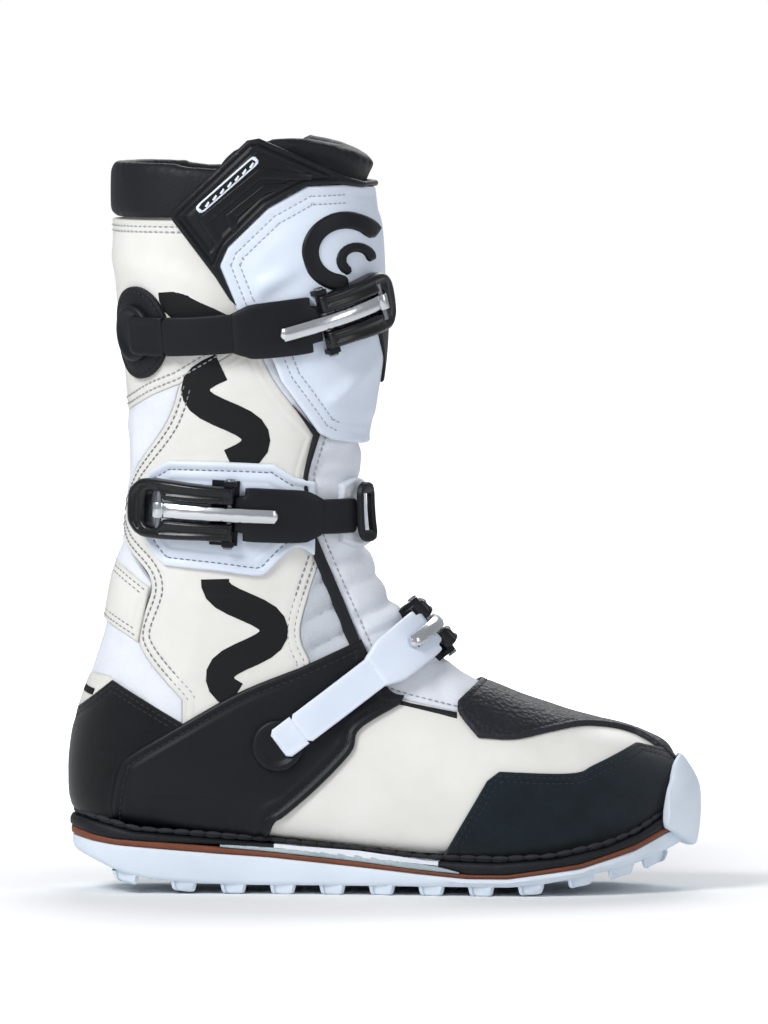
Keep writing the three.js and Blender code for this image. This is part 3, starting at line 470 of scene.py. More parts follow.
def panel(name, patch, layer, material, body, replaced=(), spacing=2.6, rim=0.8, grooves=(),
          relief=None, padded=False, crests=()):
    """A closed sheet on the last between two offsets, with rounded edges, grooves and relief."""
    inner, outer = layer
    rows = sorted({0.3 * rim, 0.65 * rim, rim, *crests, *[g + d for g in grooves for d in (-0.7, 0, 0.7)]})
    extra = []
    for distance in rows:
        moved, true = patch.inset(distance)
        extra.append(moved[true])
    deepest = max(rows) + spacing * 0.4
    extra.append(grid_inside(patch, spacing, deepest))
    flat = np.concatenate([*patch.loops, *extra])
    edges, start = [], 0
    for loop in patch.loops:
        count = len(loop)
        edges += [(start + i, start + (i + 1) % count) for i in range(count)]
        start += count
    verts2, _, tris, *_ = delaunay_2d_cdt([Vector(p) for p in flat.tolist()], edges, [], 0, 1e-5)
    flat = np.array([tuple(v) for v in verts2])
    tris = np.array([t for t in tris if len(t) == 3])
    tris = tris[inside(flat[tris].mean(1), patch.loops)]
    used, tris = np.unique(tris, return_inverse=True)
    tris = tris.reshape(-1, 3)
    flat = flat[used]
    base, normal = patch.point(flat)
    edge = patch.edge_distance(base)
    curve_in = np.clip(1 - edge / rim, 0, 1)
    height = outer - rim * (1 - np.sqrt(np.clip(1 - curve_in ** 2, 0, 1)))
    for groove in grooves:
        height = height - 0.3 * np.exp(-((edge - groove) / 0.55) ** 2)
    if relief is not None:
        height = height + relief(base, edge, *patch.to_last(flat))
    top = base + normal * height[:, None]
    under = inner + (outer - height if padded else 0) * np.ones(len(flat))
    bottom = base + normal * under[:, None]
    turn = np.sum(np.cross(top[tris[:, 1]] - top[tris[:, 0]], top[tris[:, 2]] - top[tris[:, 0]])
                  * normal[tris[:, 0]]) > 0
    upper = tris if turn else tris[:, ::-1]
    n = len(flat)
    pairs = {}
    for a, b, c in upper.tolist():
        for e in ((a, b), (b, c), (c, a)):
            if (e[1], e[0]) in pairs:
                del pairs[(e[1], e[0])]
            else:
                pairs[e] = True
    walls = [(b, a, a + n, b + n) for a, b in pairs]
    faces = upper.tolist() + (upper[:, ::-1] + n).tolist() + walls
    # Weight of the edge colour, strongest at the outline: pale pieces turn darker and dark pieces lighter along
    # their edges.
    edge_tone_weight = np.exp(-edge / 1.2)
    made = mesh_object(name, np.concatenate([top, bottom]), faces, material, np.concatenate([edge_tone_weight, edge_tone_weight]))
    return belongs(made, body, replaced)


LINING = finish("lining fabric", "26323A", "303B42", "1E262B", 0.95, pebble=1500, bump=0.8, depth=0.3)
BOARD = finish("fibre board", "9A7A55", "86683F", "A98A64", 0.9, pebble=1200, bump=0.5, depth=0.2)
sock = curve_closed([(1.75, -1), (22.8, -1), (22.8, 1), (1.75, 1)], 0.12)
panel("lining", Patch(sock), (-6.6, -3.5), LINING, "boot", ["liner"], spacing=6)
NODES["footbed"].data.materials.clear()
NODES["footbed"].data.materials.append(LINING)
NODES["insole_board"].data.materials.clear()
NODES["insole_board"].data.materials.append(BOARD)

# Stitches.
def stitch_nodes():
    """Lays one stitch after another along a line."""
    tree = bpy.data.node_groups.new("Stitch run", "GeometryNodeTree")
    face = tree.interface
    face.new_socket("Geometry", in_out="INPUT", socket_type="NodeSocketGeometry")
    for label, value in (("Pitch", 0.003), ("Length", 0.0022), ("Thickness", 0.0007)):
        face.new_socket(label, in_out="INPUT", socket_type="NodeSocketFloat").default_value = value
    face.new_socket("Thread", in_out="INPUT", socket_type="NodeSocketMaterial")
    face.new_socket("Geometry", in_out="OUTPUT", socket_type="NodeSocketGeometry")
    source, sink = tree.nodes.new("NodeGroupInput"), tree.nodes.new("NodeGroupOutput")
    line = node(tree, "GeometryNodeMeshToCurve")
    spread = node(tree, "GeometryNodeResampleCurve", mode="LENGTH")
    tangent = node(tree, "GeometryNodeInputTangent")
    turn = node(tree, "FunctionNodeAlignRotationToVector", axis="Z")
    bead = node(tree, "GeometryNodeMeshUVSphere", Segments=8, Rings=6, Radius=0.5)
    size = node(tree, "ShaderNodeCombineXYZ")
    lay = node(tree, "GeometryNodeInstanceOnPoints")
    real = node(tree, "GeometryNodeRealizeInstances")
    smooth = node(tree, "GeometryNodeSetShadeSmooth")
    paint = node(tree, "GeometryNodeSetMaterial")
    link = tree.links.new
    link(source.outputs["Geometry"], line.inputs["Mesh"])
    link(line.outputs["Curve"], spread.inputs["Curve"])
    link(source.outputs["Pitch"], spread.inputs["Length"])
    link(tangent.outputs["Tangent"], turn.inputs["Vector"])
    link(spread.outputs["Curve"], lay.inputs["Points"])
    link(bead.outputs["Mesh"], lay.inputs["Instance"])
    link(turn.outputs["Rotation"], lay.inputs["Rotation"])
    link(source.outputs["Thickness"], size.inputs["X"])
    link(source.outputs["Thickness"], size.inputs["Y"])
    link(source.outputs["Length"], size.inputs["Z"])
    link(size.outputs["Vector"], lay.inputs["Scale"])
    link(lay.outputs["Instances"], real.inputs["Geometry"])
    link(real.outputs["Geometry"], smooth.inputs["Geometry"])
    link(smooth.outputs["Geometry"], paint.inputs["Geometry"])
    link(source.outputs["Thread"], paint.inputs["Material"])
    link(paint.outputs["Geometry"], sink.inputs["Geometry"])
    return tree


STITCH = stitch_nodes()


def baked(made, tree, **values):
    """Runs a geometry node tree on an object and keeps the result as its mesh."""
    modifier = made.modifiers.new("run", "NODES")
    modifier.node_group = tree
    names = {s.name: s.identifier for s in tree.interface.items_tree if s.in_out == "INPUT"}
    for label, value in values.items():
        modifier[names[label]] = value
    depsgraph = bpy.context.evaluated_depsgraph_get()
    mesh = bpy.data.meshes.new_from_object(made.evaluated_get(depsgraph), depsgraph=depsgraph)
    made.modifiers.remove(modifier)
    old = made.data
    made.data = mesh
    bpy.data.meshes.remove(old)
    return made


def threads(name, lines, body, thread, pitch=3.0, length=2.3, thickness=0.75):
    """Stitches along lines of points in mm."""
    points, edges = [], []
    for line in lines:
        edges += [(len(points) + k, len(points) + k + 1) for k in range(len(line) - 1)]
        points += list(line)
    mesh = bpy.data.meshes.new(name)
    mesh.from_pydata(((np.array(points) + SHIFT) * MM).tolist(), edges, [])
    made = bpy.data.objects.new(name, mesh)
    bpy.context.scene.collection.objects.link(made)
    baked(made, STITCH, Pitch=pitch * MM, Length=length * MM, Thickness=thickness * MM, Thread=thread)
    return belongs(made, body)


def seam_lines(patch, runs, offset):
    """Lines inside an outline: runs of (first mark, last mark, distance)."""
    lines = []
    total = len(patch.flat)
    for first, last, distance in runs:
        i, j = patch.marks[first], patch.marks[last]
        count = (j - i) % total or total
        order = (i + np.arange(count + 1)) % total
        moved, true = patch.inset(distance)
        moved, true = moved[order], true[order]
        line = []
        points = patch.point(moved, np.full(len(moved), offset))[0]
        for p, ok in zip(points, true):
            if ok:
                line.append(p)
            elif len(line) > 3:
                lines.append(line)
                line = []
            else:
                line = []
        if len(line) > 3:
            lines.append(line)
    return lines


# ================================================================ leather upper
# Full-grain leather about 3 mm thick, cut in panels and sewn edge to edge. The back of the ankle,
# the front flap and the tongue are of softer leather that folds when the foot bends.
IVORY = finish("smooth ivory leather", "E4E3DE", "DBD9D3", "CBC8BF", 0.42, pebble=900, bump=0.12, depth=0.2)
SOFT = finish("soft white leather", "E6E9F0", "DADEE8", "C9CEDA", 0.6, pebble=650, pores=0.7, crease=0.8,
              bump=0.4, depth=0.35)
GRIP = finish("grip suede", "A89C8A", "978A78", "C3B8A6", 0.95, pebble=1100, pores=1.4, bump=0.5,
              depth=0.25, sheen=0.3, specular=0.2)
QUILTED = finish("silver quilted fabric", "C3C8D0", "AEB3BC", "8E929A", 0.5, pebble=1300, bump=0.6, depth=0.3,
                 sheen=0.4)
THREAD_PALE = finish("pale thread", "A9ADB2", "989BA0", "A9ADB2", 0.8, pebble=3000, bump=0.5, depth=0.1)
THREAD_GREY = finish("grey thread", "83868C", "75787E", "83868C", 0.8, pebble=3000, bump=0.5, depth=0.1)
LEATHER = (-3, 0)


def folds(angle, pitch, depth, seed):
    """Soft folds across a piece: waves along a direction, broken by noise."""
    along = np.array([math.cos(angle), 0, math.sin(angle)])

    def height(base, edge, t, f):
        drift = np.array([noise.noise(Vector(p) * 0.03 + Vector((seed, 0, 0))) for p in base.tolist()])
        wave = np.cos((base @ along / pitch + drift * 0.9) * 2 * math.pi)
        return depth * wave * (0.6 + 0.8 * drift) * np.clip(edge / 6, 0, 1)
    return height


BACK_SEAM = [(-98, 245.6), (-112, 239.5), (-125, 231)]
QUARTER_BACK = [(-126.3, 181), (-119.5, 204), (-104.2, 227.5), (-98, 245.6)]
QUARTER_TOP = [(-98, 245.6), (-80, 256.3), (-62.2, 267.6)]
FLAP_EDGE = [(-62.2, 267.6), (-54, 250), (-44, 236), (-31, 222), (-36, 206), (-37, 198), (-33.3, 174.2)]
HEEL_SEAM = [(-126.3, 181), (-124, 167), (-111.8, 149.3), (-117.6, 121), (-96.8, 93.6)]

top_back = Patch(*around([(-131, 324), (-62.2, 324), (-62.2, 267.6), (-80, 256.3), *BACK_SEAM], back=True,
                         corners=[1, 2, 4]), centre=1.0)
panel("upper_back", top_back, LEATHER, IVORY, "boot", ["upper_back_panel"],
      relief=lambda base, edge, t, f: 1.1 * np.exp(-((base[:, 2] - 300 + 0.25 * (base[:, 0] + 110)) / 6) ** 2)
      * np.clip(edge / 8, 0, 1), grooves=(2.6, 6))
threads("upper_back_stitches", seam_lines(top_back, [(0, 1, 3), (0, 1, 5.5), (-2, -1, 3), (-2, -1, 5.5),
                                                     (2, 6, 2.6), (2, 6, 6), (-7, -3, 2.6), (-7, -3, 6)], 0.1),
        "boot", THREAD_PALE)

bellows = Patch(*around([(-125, 231), (-112, 239.5), (-98, 245.6), (-104.2, 227.5), (-119.5, 204),
                         (-126.3, 181)], back=True, corners=[2]), centre=1.0)
panel("achilles_bellows_soft", bellows, LEATHER, SOFT, "boot", ["achilles_bellows"],
      relief=folds(math.pi / 2, 24, 1.4, 3))

heel = Patch(*around([(-126.3, 181), (-124, 167), (-111.8, 149.3), (-117.6, 121), (-96.8, 93.6), (-96.8, 33),
                      (-120, 31)], back=True, corners=[2, 4, 5], open_end=True), centre=1.0)
panel("heel_soft", heel, LEATHER, SOFT, "boot", ["heel_leather"], relief=folds(1.2, 26, 1.0, 8))

quarter_line = [*QUARTER_TOP, *FLAP_EDGE[1:], (-30.5, 161.8), (-40.2, 128.6), (-35.8, 112.8), (-35.8, 80),
                (-96.8, 80), (-96.8, 93.6), *HEEL_SEAM[::-1][1:], *QUARTER_BACK[1:-1]]
quarter_corners = [0, 2, 5, 9, 11, 12, 13, 14, 18]


def quarter_relief(base, edge, t, f):
    """A raised field under the stripes of the ankle."""
    x, z = base[:, 0], base[:, 2]
    inside_left = np.tanh((x + 91 + 0.02 * (z - 128) ** 2) / 1.2)
    inside_top = np.tanh((144 - z) / 1.2)
    return 0.3 * (1 + inside_left) * (1 + inside_top) / 2


quarter = Patch(*one_side(quarter_line, quarter_corners))
panel("quarter_outer", quarter, LEATHER, IVORY, "boot", ["quarter_lateral"], grooves=(2.6, 6),
      spacing=2.4, relief=quarter_relief)
quarter_in = Patch(*one_side(quarter_line, quarter_corners, medial=True))
panel("quarter_inner", quarter_in, LEATHER, GRIP, "boot", ["quarter_medial"], grooves=(2.6, 6))
quarter_runs = [(9, 12, 2.6), (9, 12, 6), (14, 0, 2.6), (14, 0, 6)]
threads("quarter_stitches", seam_lines(quarter, quarter_runs, 0.1) + seam_lines(quarter_in, quarter_runs, 0.1),
        "boot", THREAD_GREY)


def quilting(base, edge, t, f):
    slant = base[:, 2] - 0.5 * base[:, 0]
    return (2.4 * np.abs(np.sin(math.pi * slant / 15)) ** 0.6 - 1.4) * np.clip(edge / 4, 0, 1)


gusset_line = [(-33.3, 174.2), (-30.5, 161.8), (-40.2, 128.6), (-35.8, 112.8), (-35.8, 86), (-7.2, 92),
               (-7.2, 113)]
gusset = Patch(*one_side(gusset_line, [0, 1, 3, 4, 5, 6]))
panel("gusset_outer", gusset, LEATHER, QUILTED, "boot", ["gusset_lateral"], spacing=2,
      relief=quilting)
gusset_in = Patch(*one_side(gusset_line, [0, 1, 3, 4, 5, 6], medial=True))
panel("gusset_inner", gusset_in, LEATHER, QUILTED, "boot", ["gusset_medial"], spacing=2,
      relief=quilting)


def flap_folds(base, edge, t, f):
    """Rolls across the front of the ankle: deep grooves between full folds."""
    x, z = base[:, 0], base[:, 2]
    height = np.zeros(len(base))
    for level, slope, width, depth in ((214, 0.25, 3.5, 2.4), (200, -0.1, 2.5, 1.2), (164, 0.15, 3.5, 2.6),
                                       (147, 0.35, 3, 1.3), (133, 0.3, 3.5, 2.2), (121, 0.3, 2.5, 1.2)):
        line = level + slope * (x + 15) + 2.0 * np.sin(f * 9 + level)
        height -= depth * np.exp(-((z - line) / width) ** 2) * np.exp(-(f / 0.42) ** 4)
    height += 1.6 * np.exp(-(f / 0.42) ** 4) * np.clip((222 - z) / 8, 0, 1)
    return height * np.clip(edge / 5, 0, 1)


flap = Patch(*around([(-9, 336), (-62.2, 336), *FLAP_EDGE, (-7.2, 113), (27, 113)], corners=[1, 2, 5, 9]))
panel("front_flap_soft", flap, LEATHER, SOFT, "boot", ["front_flap"], relief=flap_folds,
      spacing=2.2, grooves=(3.6,))
threads("front_flap_stitches", seam_lines(flap, [(5, 9, 3.6), (-10, -6, 3.6)], 0.9), "boot", THREAD_PALE)

tongue = Patch(*around([(27, 113), (-7.2, 113), (-7.2, 100), (9.6, 93.8), (34, 88.1), (58, 88), (60, 94.9)],
                       corners=[1, 2, 4, 5]))
panel("instep_tongue_soft", tongue, LEATHER, SOFT, "boot", ["instep_tongue"],
      relief=folds(0.4, 26, 0.7, 5), grooves=(3,))
threads("instep_stitches", seam_lines(tongue, [(2, 4, 3), (-5, -3, 3)], 0.1), "boot", THREAD_PALE)

VAMP_LINE = [(60, 94.9), (58, 88), (34, 88.1), (9.6, 93.8), (-7.2, 100), (-14, 80), (-96.8, 80), (-96.8, 30.5),
             (-48, 27), (-12, 23), (22, 20), (54, 19), (80, 21), (103, 26), (121, 32), (131, 36.5)]
vamp = Patch(*around(VAMP_LINE, corners=[1, 2, 4, 5, 6, 7], open_end=True))
panel("vamp_leather", vamp, LEATHER, IVORY, "boot", ["vamp"], spacing=3.2,
      relief=lambda base, edge, t, f: 0.35 * np.sin(base[:, 0] / 13 + 2 * f) * np.clip(edge / 12, 0, 1)
      * np.exp(-((base[:, 0] - 35) / 30) ** 2))

# ================================================================ bindings of the flap and the throat
# Strips of thin black leather folded over the raw edges of the front flap and of the vamp's opening.
# They lie on both sides of the boot, over the joint between the flap and the shaft.
BLACK_LEATHER = finish("black leather", "0F1116", "15171C", "212227", 0.5, pebble=520, bump=0.45, depth=0.25,
                       specular=0.28)
flap_bind = [(-44, 236), (-31.4, 221.6), (-36, 206), (-37.4, 197.6), (-33.8, 174), (-7.6, 111), (-13.8, 112),
             (-35.8, 168), (-39.2, 186), (-39, 199), (-37.6, 207), (-34, 221)]
panel("flap_binding", Patch(*one_side(flap_bind, [0, 1, 3, 4, 5, 6, 9, 11])), (-0.2, 2.2), BLACK_LEATHER,
      "boot", rim=0.6, spacing=1.6)
panel("flap_binding_inner", Patch(*one_side(flap_bind, [0, 1, 3, 4, 5, 6, 9, 11], medial=True)), (-0.2, 2.2),
      BLACK_LEATHER, "boot", rim=0.5, spacing=2)
throat = [(-9, 99.4), (9.6, 92.6), (35, 87.2), (35, 84.4), (20, 88.2), (5, 91.6), (-8, 93)]
for side in (False, True):
    panel(("throat_binding", "throat_binding_inner")[side], Patch(*one_side(throat, [0, 2, 3, 6], medial=side)),
          (-0.2, 0.7), BLACK_LEATHER, "boot", rim=0.4, spacing=2)

# ================================================================ ankle plates, counter, straps of leather
# Reinforcements sewn over the upper: a moulded black plate on each side of the ankle, the nubuck heel
# counter with its white pull tab, a band behind the ankle, the nubuck toe cap and the pebbled strip.
BLACK_PLASTIC = finish("black plastic", "0D0F14", "121419", "1C1E24", 0.38, pebble=2200, bump=0.10,
                       depth=0.08, edge_amount=0.6, specular=0.25)
WHITE_PLASTIC = finish("white polyurethane", "DCE5F3", "D2DCEC", "EEF3FA", 0.34, pebble=1800, bump=0.05,
                       depth=0.08)
HEEL_NUBUCK = finish("heel nubuck", "141619", "0E0F12", "252629", 0.9, pebble=1500, pores=1.2, bump=0.4,
                     depth=0.2, sheen=0.25, cloud_scale=60, specular=0.2)
TOE_NUBUCK = finish("toe nubuck", "0D161D", "131F27", "222F37", 0.85, pebble=1500, pores=1.2, bump=0.4,
                    depth=0.2, sheen=0.25, cloud_scale=70, specular=0.2)
PEBBLED = finish("pebbled black leather", "1B1D25", "14161C", "2A2C34", 0.48, pebble=420, pores=0.2,
                 bump=0.9, depth=0.5, specular=0.3)
THREAD_BLACK = finish("black thread", "24262B", "1B1C20", "24262B", 0.75, pebble=3000, bump=0.5, depth=0.1)
OVERLAY, THIN_OVERLAY = (0.3, 2.4), (0.3, 2.2)
plate_line = [(-131, 30), (-130, 42), (-128.2, 53.8), (-126.2, 60.5), (-121.9, 66.7), (-97, 82.1),
              (-69.1, 97.9),
              (-40.3, 109.4), (-11.5, 122.4), (-7.2, 112.8), (2.4, 97.9), (9.6, 95), (7.7, 91.2), (-11.5, 79.7),
              (-15.8, 68.6), (-31.7, 51.8), (-47, 38.6), (-52.5, 35), (-56, 27)]
plate_corners = [0, 7, 8, 9, 11, 12, 18]


def soft_step(x):
    """1 well below zero and 0 well above it, with a soft change between."""
    return 1 / (1 + np.exp(np.clip(x, -30, 30)))


def plate_relief(base, edge, t, f):
    """A raised rim, a stitch channel inside it and a sunk field near the sole."""
    x, z = base[:, 0], base[:, 2]
    rim_bead = 0.7 * np.exp(-((edge - 1.7) / 1.1) ** 2) - 0.45 * np.exp(-((edge - 4.2) / 0.9) ** 2)
    inner_bead = 0.35 * np.exp(-((edge - 7) / 0.9) ** 2)
    shelf = -0.6 * soft_step((z - 47.5) * 2.5) * soft_step((-112 - x) * 2.5)
    return rim_bead + inner_bead + shelf * np.clip((edge - 8) / 3, 0, 1)


for side in (False, True):
    plate = Patch(*one_side(plate_line, plate_corners, medial=side))
    suffix = ("outer", "inner")[side]
    panel(f"ankle_plate_{suffix}", plate, OVERLAY, BLACK_PLASTIC, "boot",
          [f"ankle_plate_{'medial' if side else 'lateral'}"], spacing=1.6, relief=plate_relief,
          crests=(1.2, 1.9, 2.6, 3.5, 4.2, 4.9, 6.3, 7, 7.7))
    threads(f"ankle_plate_stitches_{suffix}", seam_lines(plate, [(0, 8, 4.2), (12, 17, 4.2)], 2.05), "boot",
            THREAD_BLACK, pitch=3.4, length=2.8, thickness=0.9)

tab = Patch(*around([(-141.5, 106), (-131, 104.5), (-129.4, 101.5), (-147, 88)], back=True), centre=1.0)
panel("heel_pull_tab", tab, (0.2, 1.3), IVORY, "boot", ["heel_tab"], grooves=(2.2,))
counter = Patch(*around([(-151.8, 84), (-149, 86), (-129.8, 102.4), (-97, 82.8), (-95.5, 81.2), (-120.2, 65),
                         (-124.2, 59.6), (-126.3, 53.5), (-128, 42), (-129, 33), (-136, 32)],
                        back=True, corners=[1, 2, 3, 4, 9], open_end=True), centre=1.0)
panel("heel_counter_nubuck", counter, (0.3, 2.1), HEEL_NUBUCK, "boot", ["heel_counter"],
      grooves=(2.2, 4.6), spacing=3)
threads("heel_counter_stitches", seam_lines(counter, [(0, 3, 2.2), (0, 3, 4.6), (-4, -1, 2.2), (-4, -1, 4.6)],
                                            1.9),
        "boot", THREAD_BLACK)

ankle_band = Patch(*around([(-133, 160), (-130.6, 160.8), (-112.4, 147.6), (-117.9, 121), (-134, 131)],
                           back=True,
                           corners=[2, 3]), centre=1.0)
panel("ankle_band", ankle_band, (0.3, 1.6), IVORY, "boot", ["achilles_band"],
      grooves=(2.2, 4.8))
threads("ankle_band_stitches", seam_lines(ankle_band, [(0, 2, 2.2), (0, 2, 4.8), (3, 4, 2.2), (3, 4, 4.8),
                                                       (-3, -1, 2.2), (-3, -1, 4.8), (-5, -4, 2.2),
                                                       (-5, -4, 4.8)], 1.3),
        "boot", THREAD_GREY)

CAP_LINE = [(137.8, 65.3), (133.9, 67.6), (120.5, 71), (100.8, 62.4), (89.3, 58.6), (55.2, 59.5), (49.4, 55.2),
            (28.5, 20), (54, 18.6), (82, 20.4), (106, 25.4), (123, 32), (134, 39), (139.2, 47.4)]
cap = Patch(*around(CAP_LINE, corners=[1, 2, 5, 6, 7], open_end=True))
panel("toe_cap_nubuck", cap, THIN_OVERLAY, TOE_NUBUCK, "boot", ["toe_cap"], grooves=(2.4, 5),
      spacing=3)
threads("toe_cap_stitches", seam_lines(cap, [(1, 7, 2.4), (1, 7, 5), (-8, -2, 2.4), (-8, -2, 5)], 2.0), "boot",
        THREAD_BLACK)

strip_path = [(46, 100.2), (41, 96.5), (35.4, 91.6), (36.2, 86.2), (45.1, 75.4), (62.4, 74.6), (80, 77.8),
              (94.2, 79.8), (108, 78.6), (121, 75), (131, 69.2), (139.2, 61.2)]
strip = Patch(*around(strip_path, corners=[2, 4]))
panel("toe_strip_pebbled", strip, (0.3, 2.6), PEBBLED, "boot", ["toe_strip"], spacing=1.8,
      relief=lambda base, edge, t, f: 0.35 * np.exp(-((edge - 1.4) / 0.9) ** 2), grooves=(3,))
threads("toe_strip_stitches", seam_lines(strip, [(0, 7, 3), (-8, -1, 3)], 2.35), "boot", THREAD_BLACK,
        pitch=2.6,
        length=2.0)

hinge_strip = Patch(*one_side([(-62, 224), (-46.6, 224), (-46.6, 330), (-62, 322)], medial=True))
panel("flap_hinge_leather", hinge_strip, (0.3, 2), SOFT, "boot", ["flap_hinge_strip"],
      grooves=(2.4,))
threads("flap_hinge_stitches", seam_lines(hinge_strip, [(0, 0, 2.4)], 1.8), "boot", THREAD_PALE)

# ================================================================ printed stripes of the quarter
# Black waves printed on the ivory leather of the quarter, a plain pattern with no lettering, and a
# small bar on the heel tab. The ink stands a fifth of a millimetre or so above the leather.
PRINT_BLACK = finish("black print", "0C0D10", "101114", "101114", 0.5, pebble=900, bump=0.08, depth=0.15,
                     specular=0.25)


def joined(name, parts):
    """One object of several, with the first one's body and material."""
    work = bmesh.new()
    for part in parts:
        work.from_mesh(part.data)
    first = parts[0]
    mesh = first.data
    work.to_mesh(mesh)
    work.free()
    for part in parts[1:]:
        bpy.data.objects.remove(part)
    first.name = name
    return first


def wave_outline(top, bottom, lean, swing, period, half):
    """A ribbon that swings from side to side on its way down, as a closed outline."""
    z = np.linspace(top, bottom, int((top - bottom) / 2.5))
    turn = 2 * math.pi * (z - 300) / period
    x = lean[0] + lean[1] * (z - 200) + swing * np.sin(turn) * (1 + 0.25 * np.cos(turn) ** 2)
    slope = np.stack([np.gradient(x), np.gradient(z)], 1)
    slope /= np.linalg.norm(slope, axis=1, keepdims=True)
    out = np.stack([-slope[:, 1], slope[:, 0]], 1) * half
    line = np.stack([x, z], 1)
    return np.vstack([line + out, (line - out)[::-1]])


def cleaned(outline, gap):
    """Drops the points of an outline that its own folds come too close to."""
    keep = [outline[0]]
    for p in outline[1:]:
        if np.linalg.norm(p - keep[-1]) > gap:
            keep.append(p)
    return np.array(keep)


stripes = []
for index, (top, bottom, lean) in enumerate([(290, 262, (-79, -0.1)), (254, 208, (-73, -0.09)),
                                             (152, 96, (-70, -0.05))]):
    wave = cleaned(wave_outline(top, bottom, lean, 13.5, 46, 6.8), 0.8)
    outline = Patch(*one_side(wave, range(len(wave))))
    stripes.append(panel(f"wave_{index}", outline, (-0.4, 0.22), PRINT_BLACK, "boot", rim=0.1,
                         spacing=2, relief=quarter_relief))
joined("quarter_stripes", stripes)
mark = [(-21, 98), (-9, 99.5), (-9, 96.5), (-21, 95)]
heel_mark = Patch(*one_side(mark, range(4), u=AXIS_Y, keep=NORMAL[:, :, 0] < -0.2, lift=1))
panel("heel_tab_mark", heel_mark, (1.2, 1.85), PRINT_BLACK, "boot", rim=0.2, spacing=2)

# ================================================================ collars
# Padded rims round the mouth of the boot: thick foam under smooth black leather. The back collar
# sits on the boot, the front one on the shin flap. Their fabric side lies against the leg.
COLLAR = (-6.8, 0.9)


def inflated(pad, limit, steps=20):
    """Swells a pad as a sewn cover over foam: cloth under pressure, each point held to a limit in mm."""
    remesh = pad.modifiers.new("even", "REMESH")
    remesh.mode = "VOXEL"
    remesh.voxel_size = 0.003
    depsgraph = bpy.context.evaluated_depsgraph_get()
    mesh = bpy.data.meshes.new_from_object(pad.evaluated_get(depsgraph), depsgraph=depsgraph)
    pad.modifiers.remove(remesh)
    mesh.name = pad.name
    mesh.materials.clear()
    mesh.materials.append(pad.data.materials[0])
    pad.data = mesh
    rest = np.array([v.co for v in mesh.vertices])
    cloth = pad.modifiers.new("swell", "CLOTH")
    cloth.settings.quality = 6
    cloth.settings.mass = 0.2
    cloth.settings.tension_stiffness = 18
    cloth.settings.compression_stiffness = 18
    cloth.settings.bending_stiffness = 0.4
    cloth.settings.use_pressure = True
    cloth.settings.uniform_pressure_force = 4
    cloth.settings.effector_weights.gravity = 0
    cloth.point_cache.frame_start = 1
    cloth.point_cache.frame_end = steps
    scene = bpy.context.scene
    for step in range(1, steps + 1):
        scene.frame_set(step)
    depsgraph = bpy.context.evaluated_depsgraph_get()
    swollen = np.array([v.co for v in pad.evaluated_get(depsgraph).data.vertices])
    pad.modifiers.remove(cloth)
    scene.frame_set(1)
    move = swollen - rest
    length = np.maximum(np.linalg.norm(move, axis=1, keepdims=True), 1e-12)
    move *= np.minimum(1, limit * MM / length)
    mesh.vertices.foreach_set("co", (rest + move).ravel())
    mesh.update()
    mesh.shade_smooth()
    rounder = pad.modifiers.new("smooth", "SUBSURF")
    rounder.levels = rounder.render_levels = 1
    return pad


back_collar = Patch(*around([(-131, 323.8), (-84, 323.8), (-62.4, 323.8), (-62.4, 336), (-70, 349.6),
                             (-84, 350),
                             (-104, 352.2), (-131, 352.6)], back=True, corners=[2, 3, 4]), centre=1.0)
back_pad = panel("collar_back_pad", back_collar, COLLAR, BLACK_LEATHER, "boot",
                 ["collar_back"], rim=4.4, spacing=3, padded=True,
                 relief=lambda base, edge, t, f: -0.35 * np.exp(-((edge - 6.5) / 0.7) ** 2) * (base[:,
                                                                                                    2] > 340))
inflated(back_pad, 1.2)
belongs(back_pad, "boot")

FRONT_COLLAR = [(-9, 336), (-79, 336), (-79, 352), (-70, 359.5), (-56, 363), (-42, 364), (-27, 362.4),
                (-16, 359.4), (-9, 356)]
FRONT_COLLAR_IN = [(-9, 336), (-42.6, 336), (-42.6, 352), (-42, 357), (-40, 361), (-36, 363.2), (-27, 362.4),
                   (-16, 359.4), (-9, 356)]


def collar_bulge(base, edge, t, f):
    """Full above the wing, flat behind it."""
    x, z = base[:, 0], base[:, 2]
    wing_top = np.minimum(342.2 - 0.42 * (x + 9), 363)
    return 4.6 * np.clip((z - wing_top - 1.5) / 6, 0, 1) * np.clip(edge / 4, 0, 1)


front_collar = Patch(*around(FRONT_COLLAR, FRONT_COLLAR_IN, corners=[1, 2]))
front_pad = panel("collar_front_pad", front_collar, (-6.8, 0.2), BLACK_LEATHER, "shin_flap",
                  ["collar_front"], rim=3.4, spacing=2.4, padded=True, relief=collar_bulge)
inflated(front_pad, 1.0)
belongs(front_pad, "shin_flap")

# ================================================================ shin flap
# A stiff white polyurethane plate lined with felt that closes over the shin, with a plain emblem of
# two arcs. A black wing with a double bead, glossy chevrons and a small label is welded round its top.
BLACK_GLOSS = finish("gloss black plastic", "08090C", "0C0D10", "15161A", 0.22, pebble=2200, bump=0.04,
                     depth=0.05, coat=0.1, specular=0.35)
SHIN_EDGE = [(0.5, 338.5), (-20, 341), (-37, 340.6), (-55.7, 330.2), (-74.9, 311.5), (-78.7, 302.9),
             (-70.6, 282.2), (-54.7, 261.6), (-49, 247.2), (-30.7, 221.8), (-25.4, 218.9), (-9.5, 216)]
SHIN_EDGE_IN = [(0.5, 338.5), (-20, 341), (-37, 340.6), (-43, 338), (-43, 239), (-30.7, 221.8), (-25.4, 218.9),
                (-9.5, 216)]


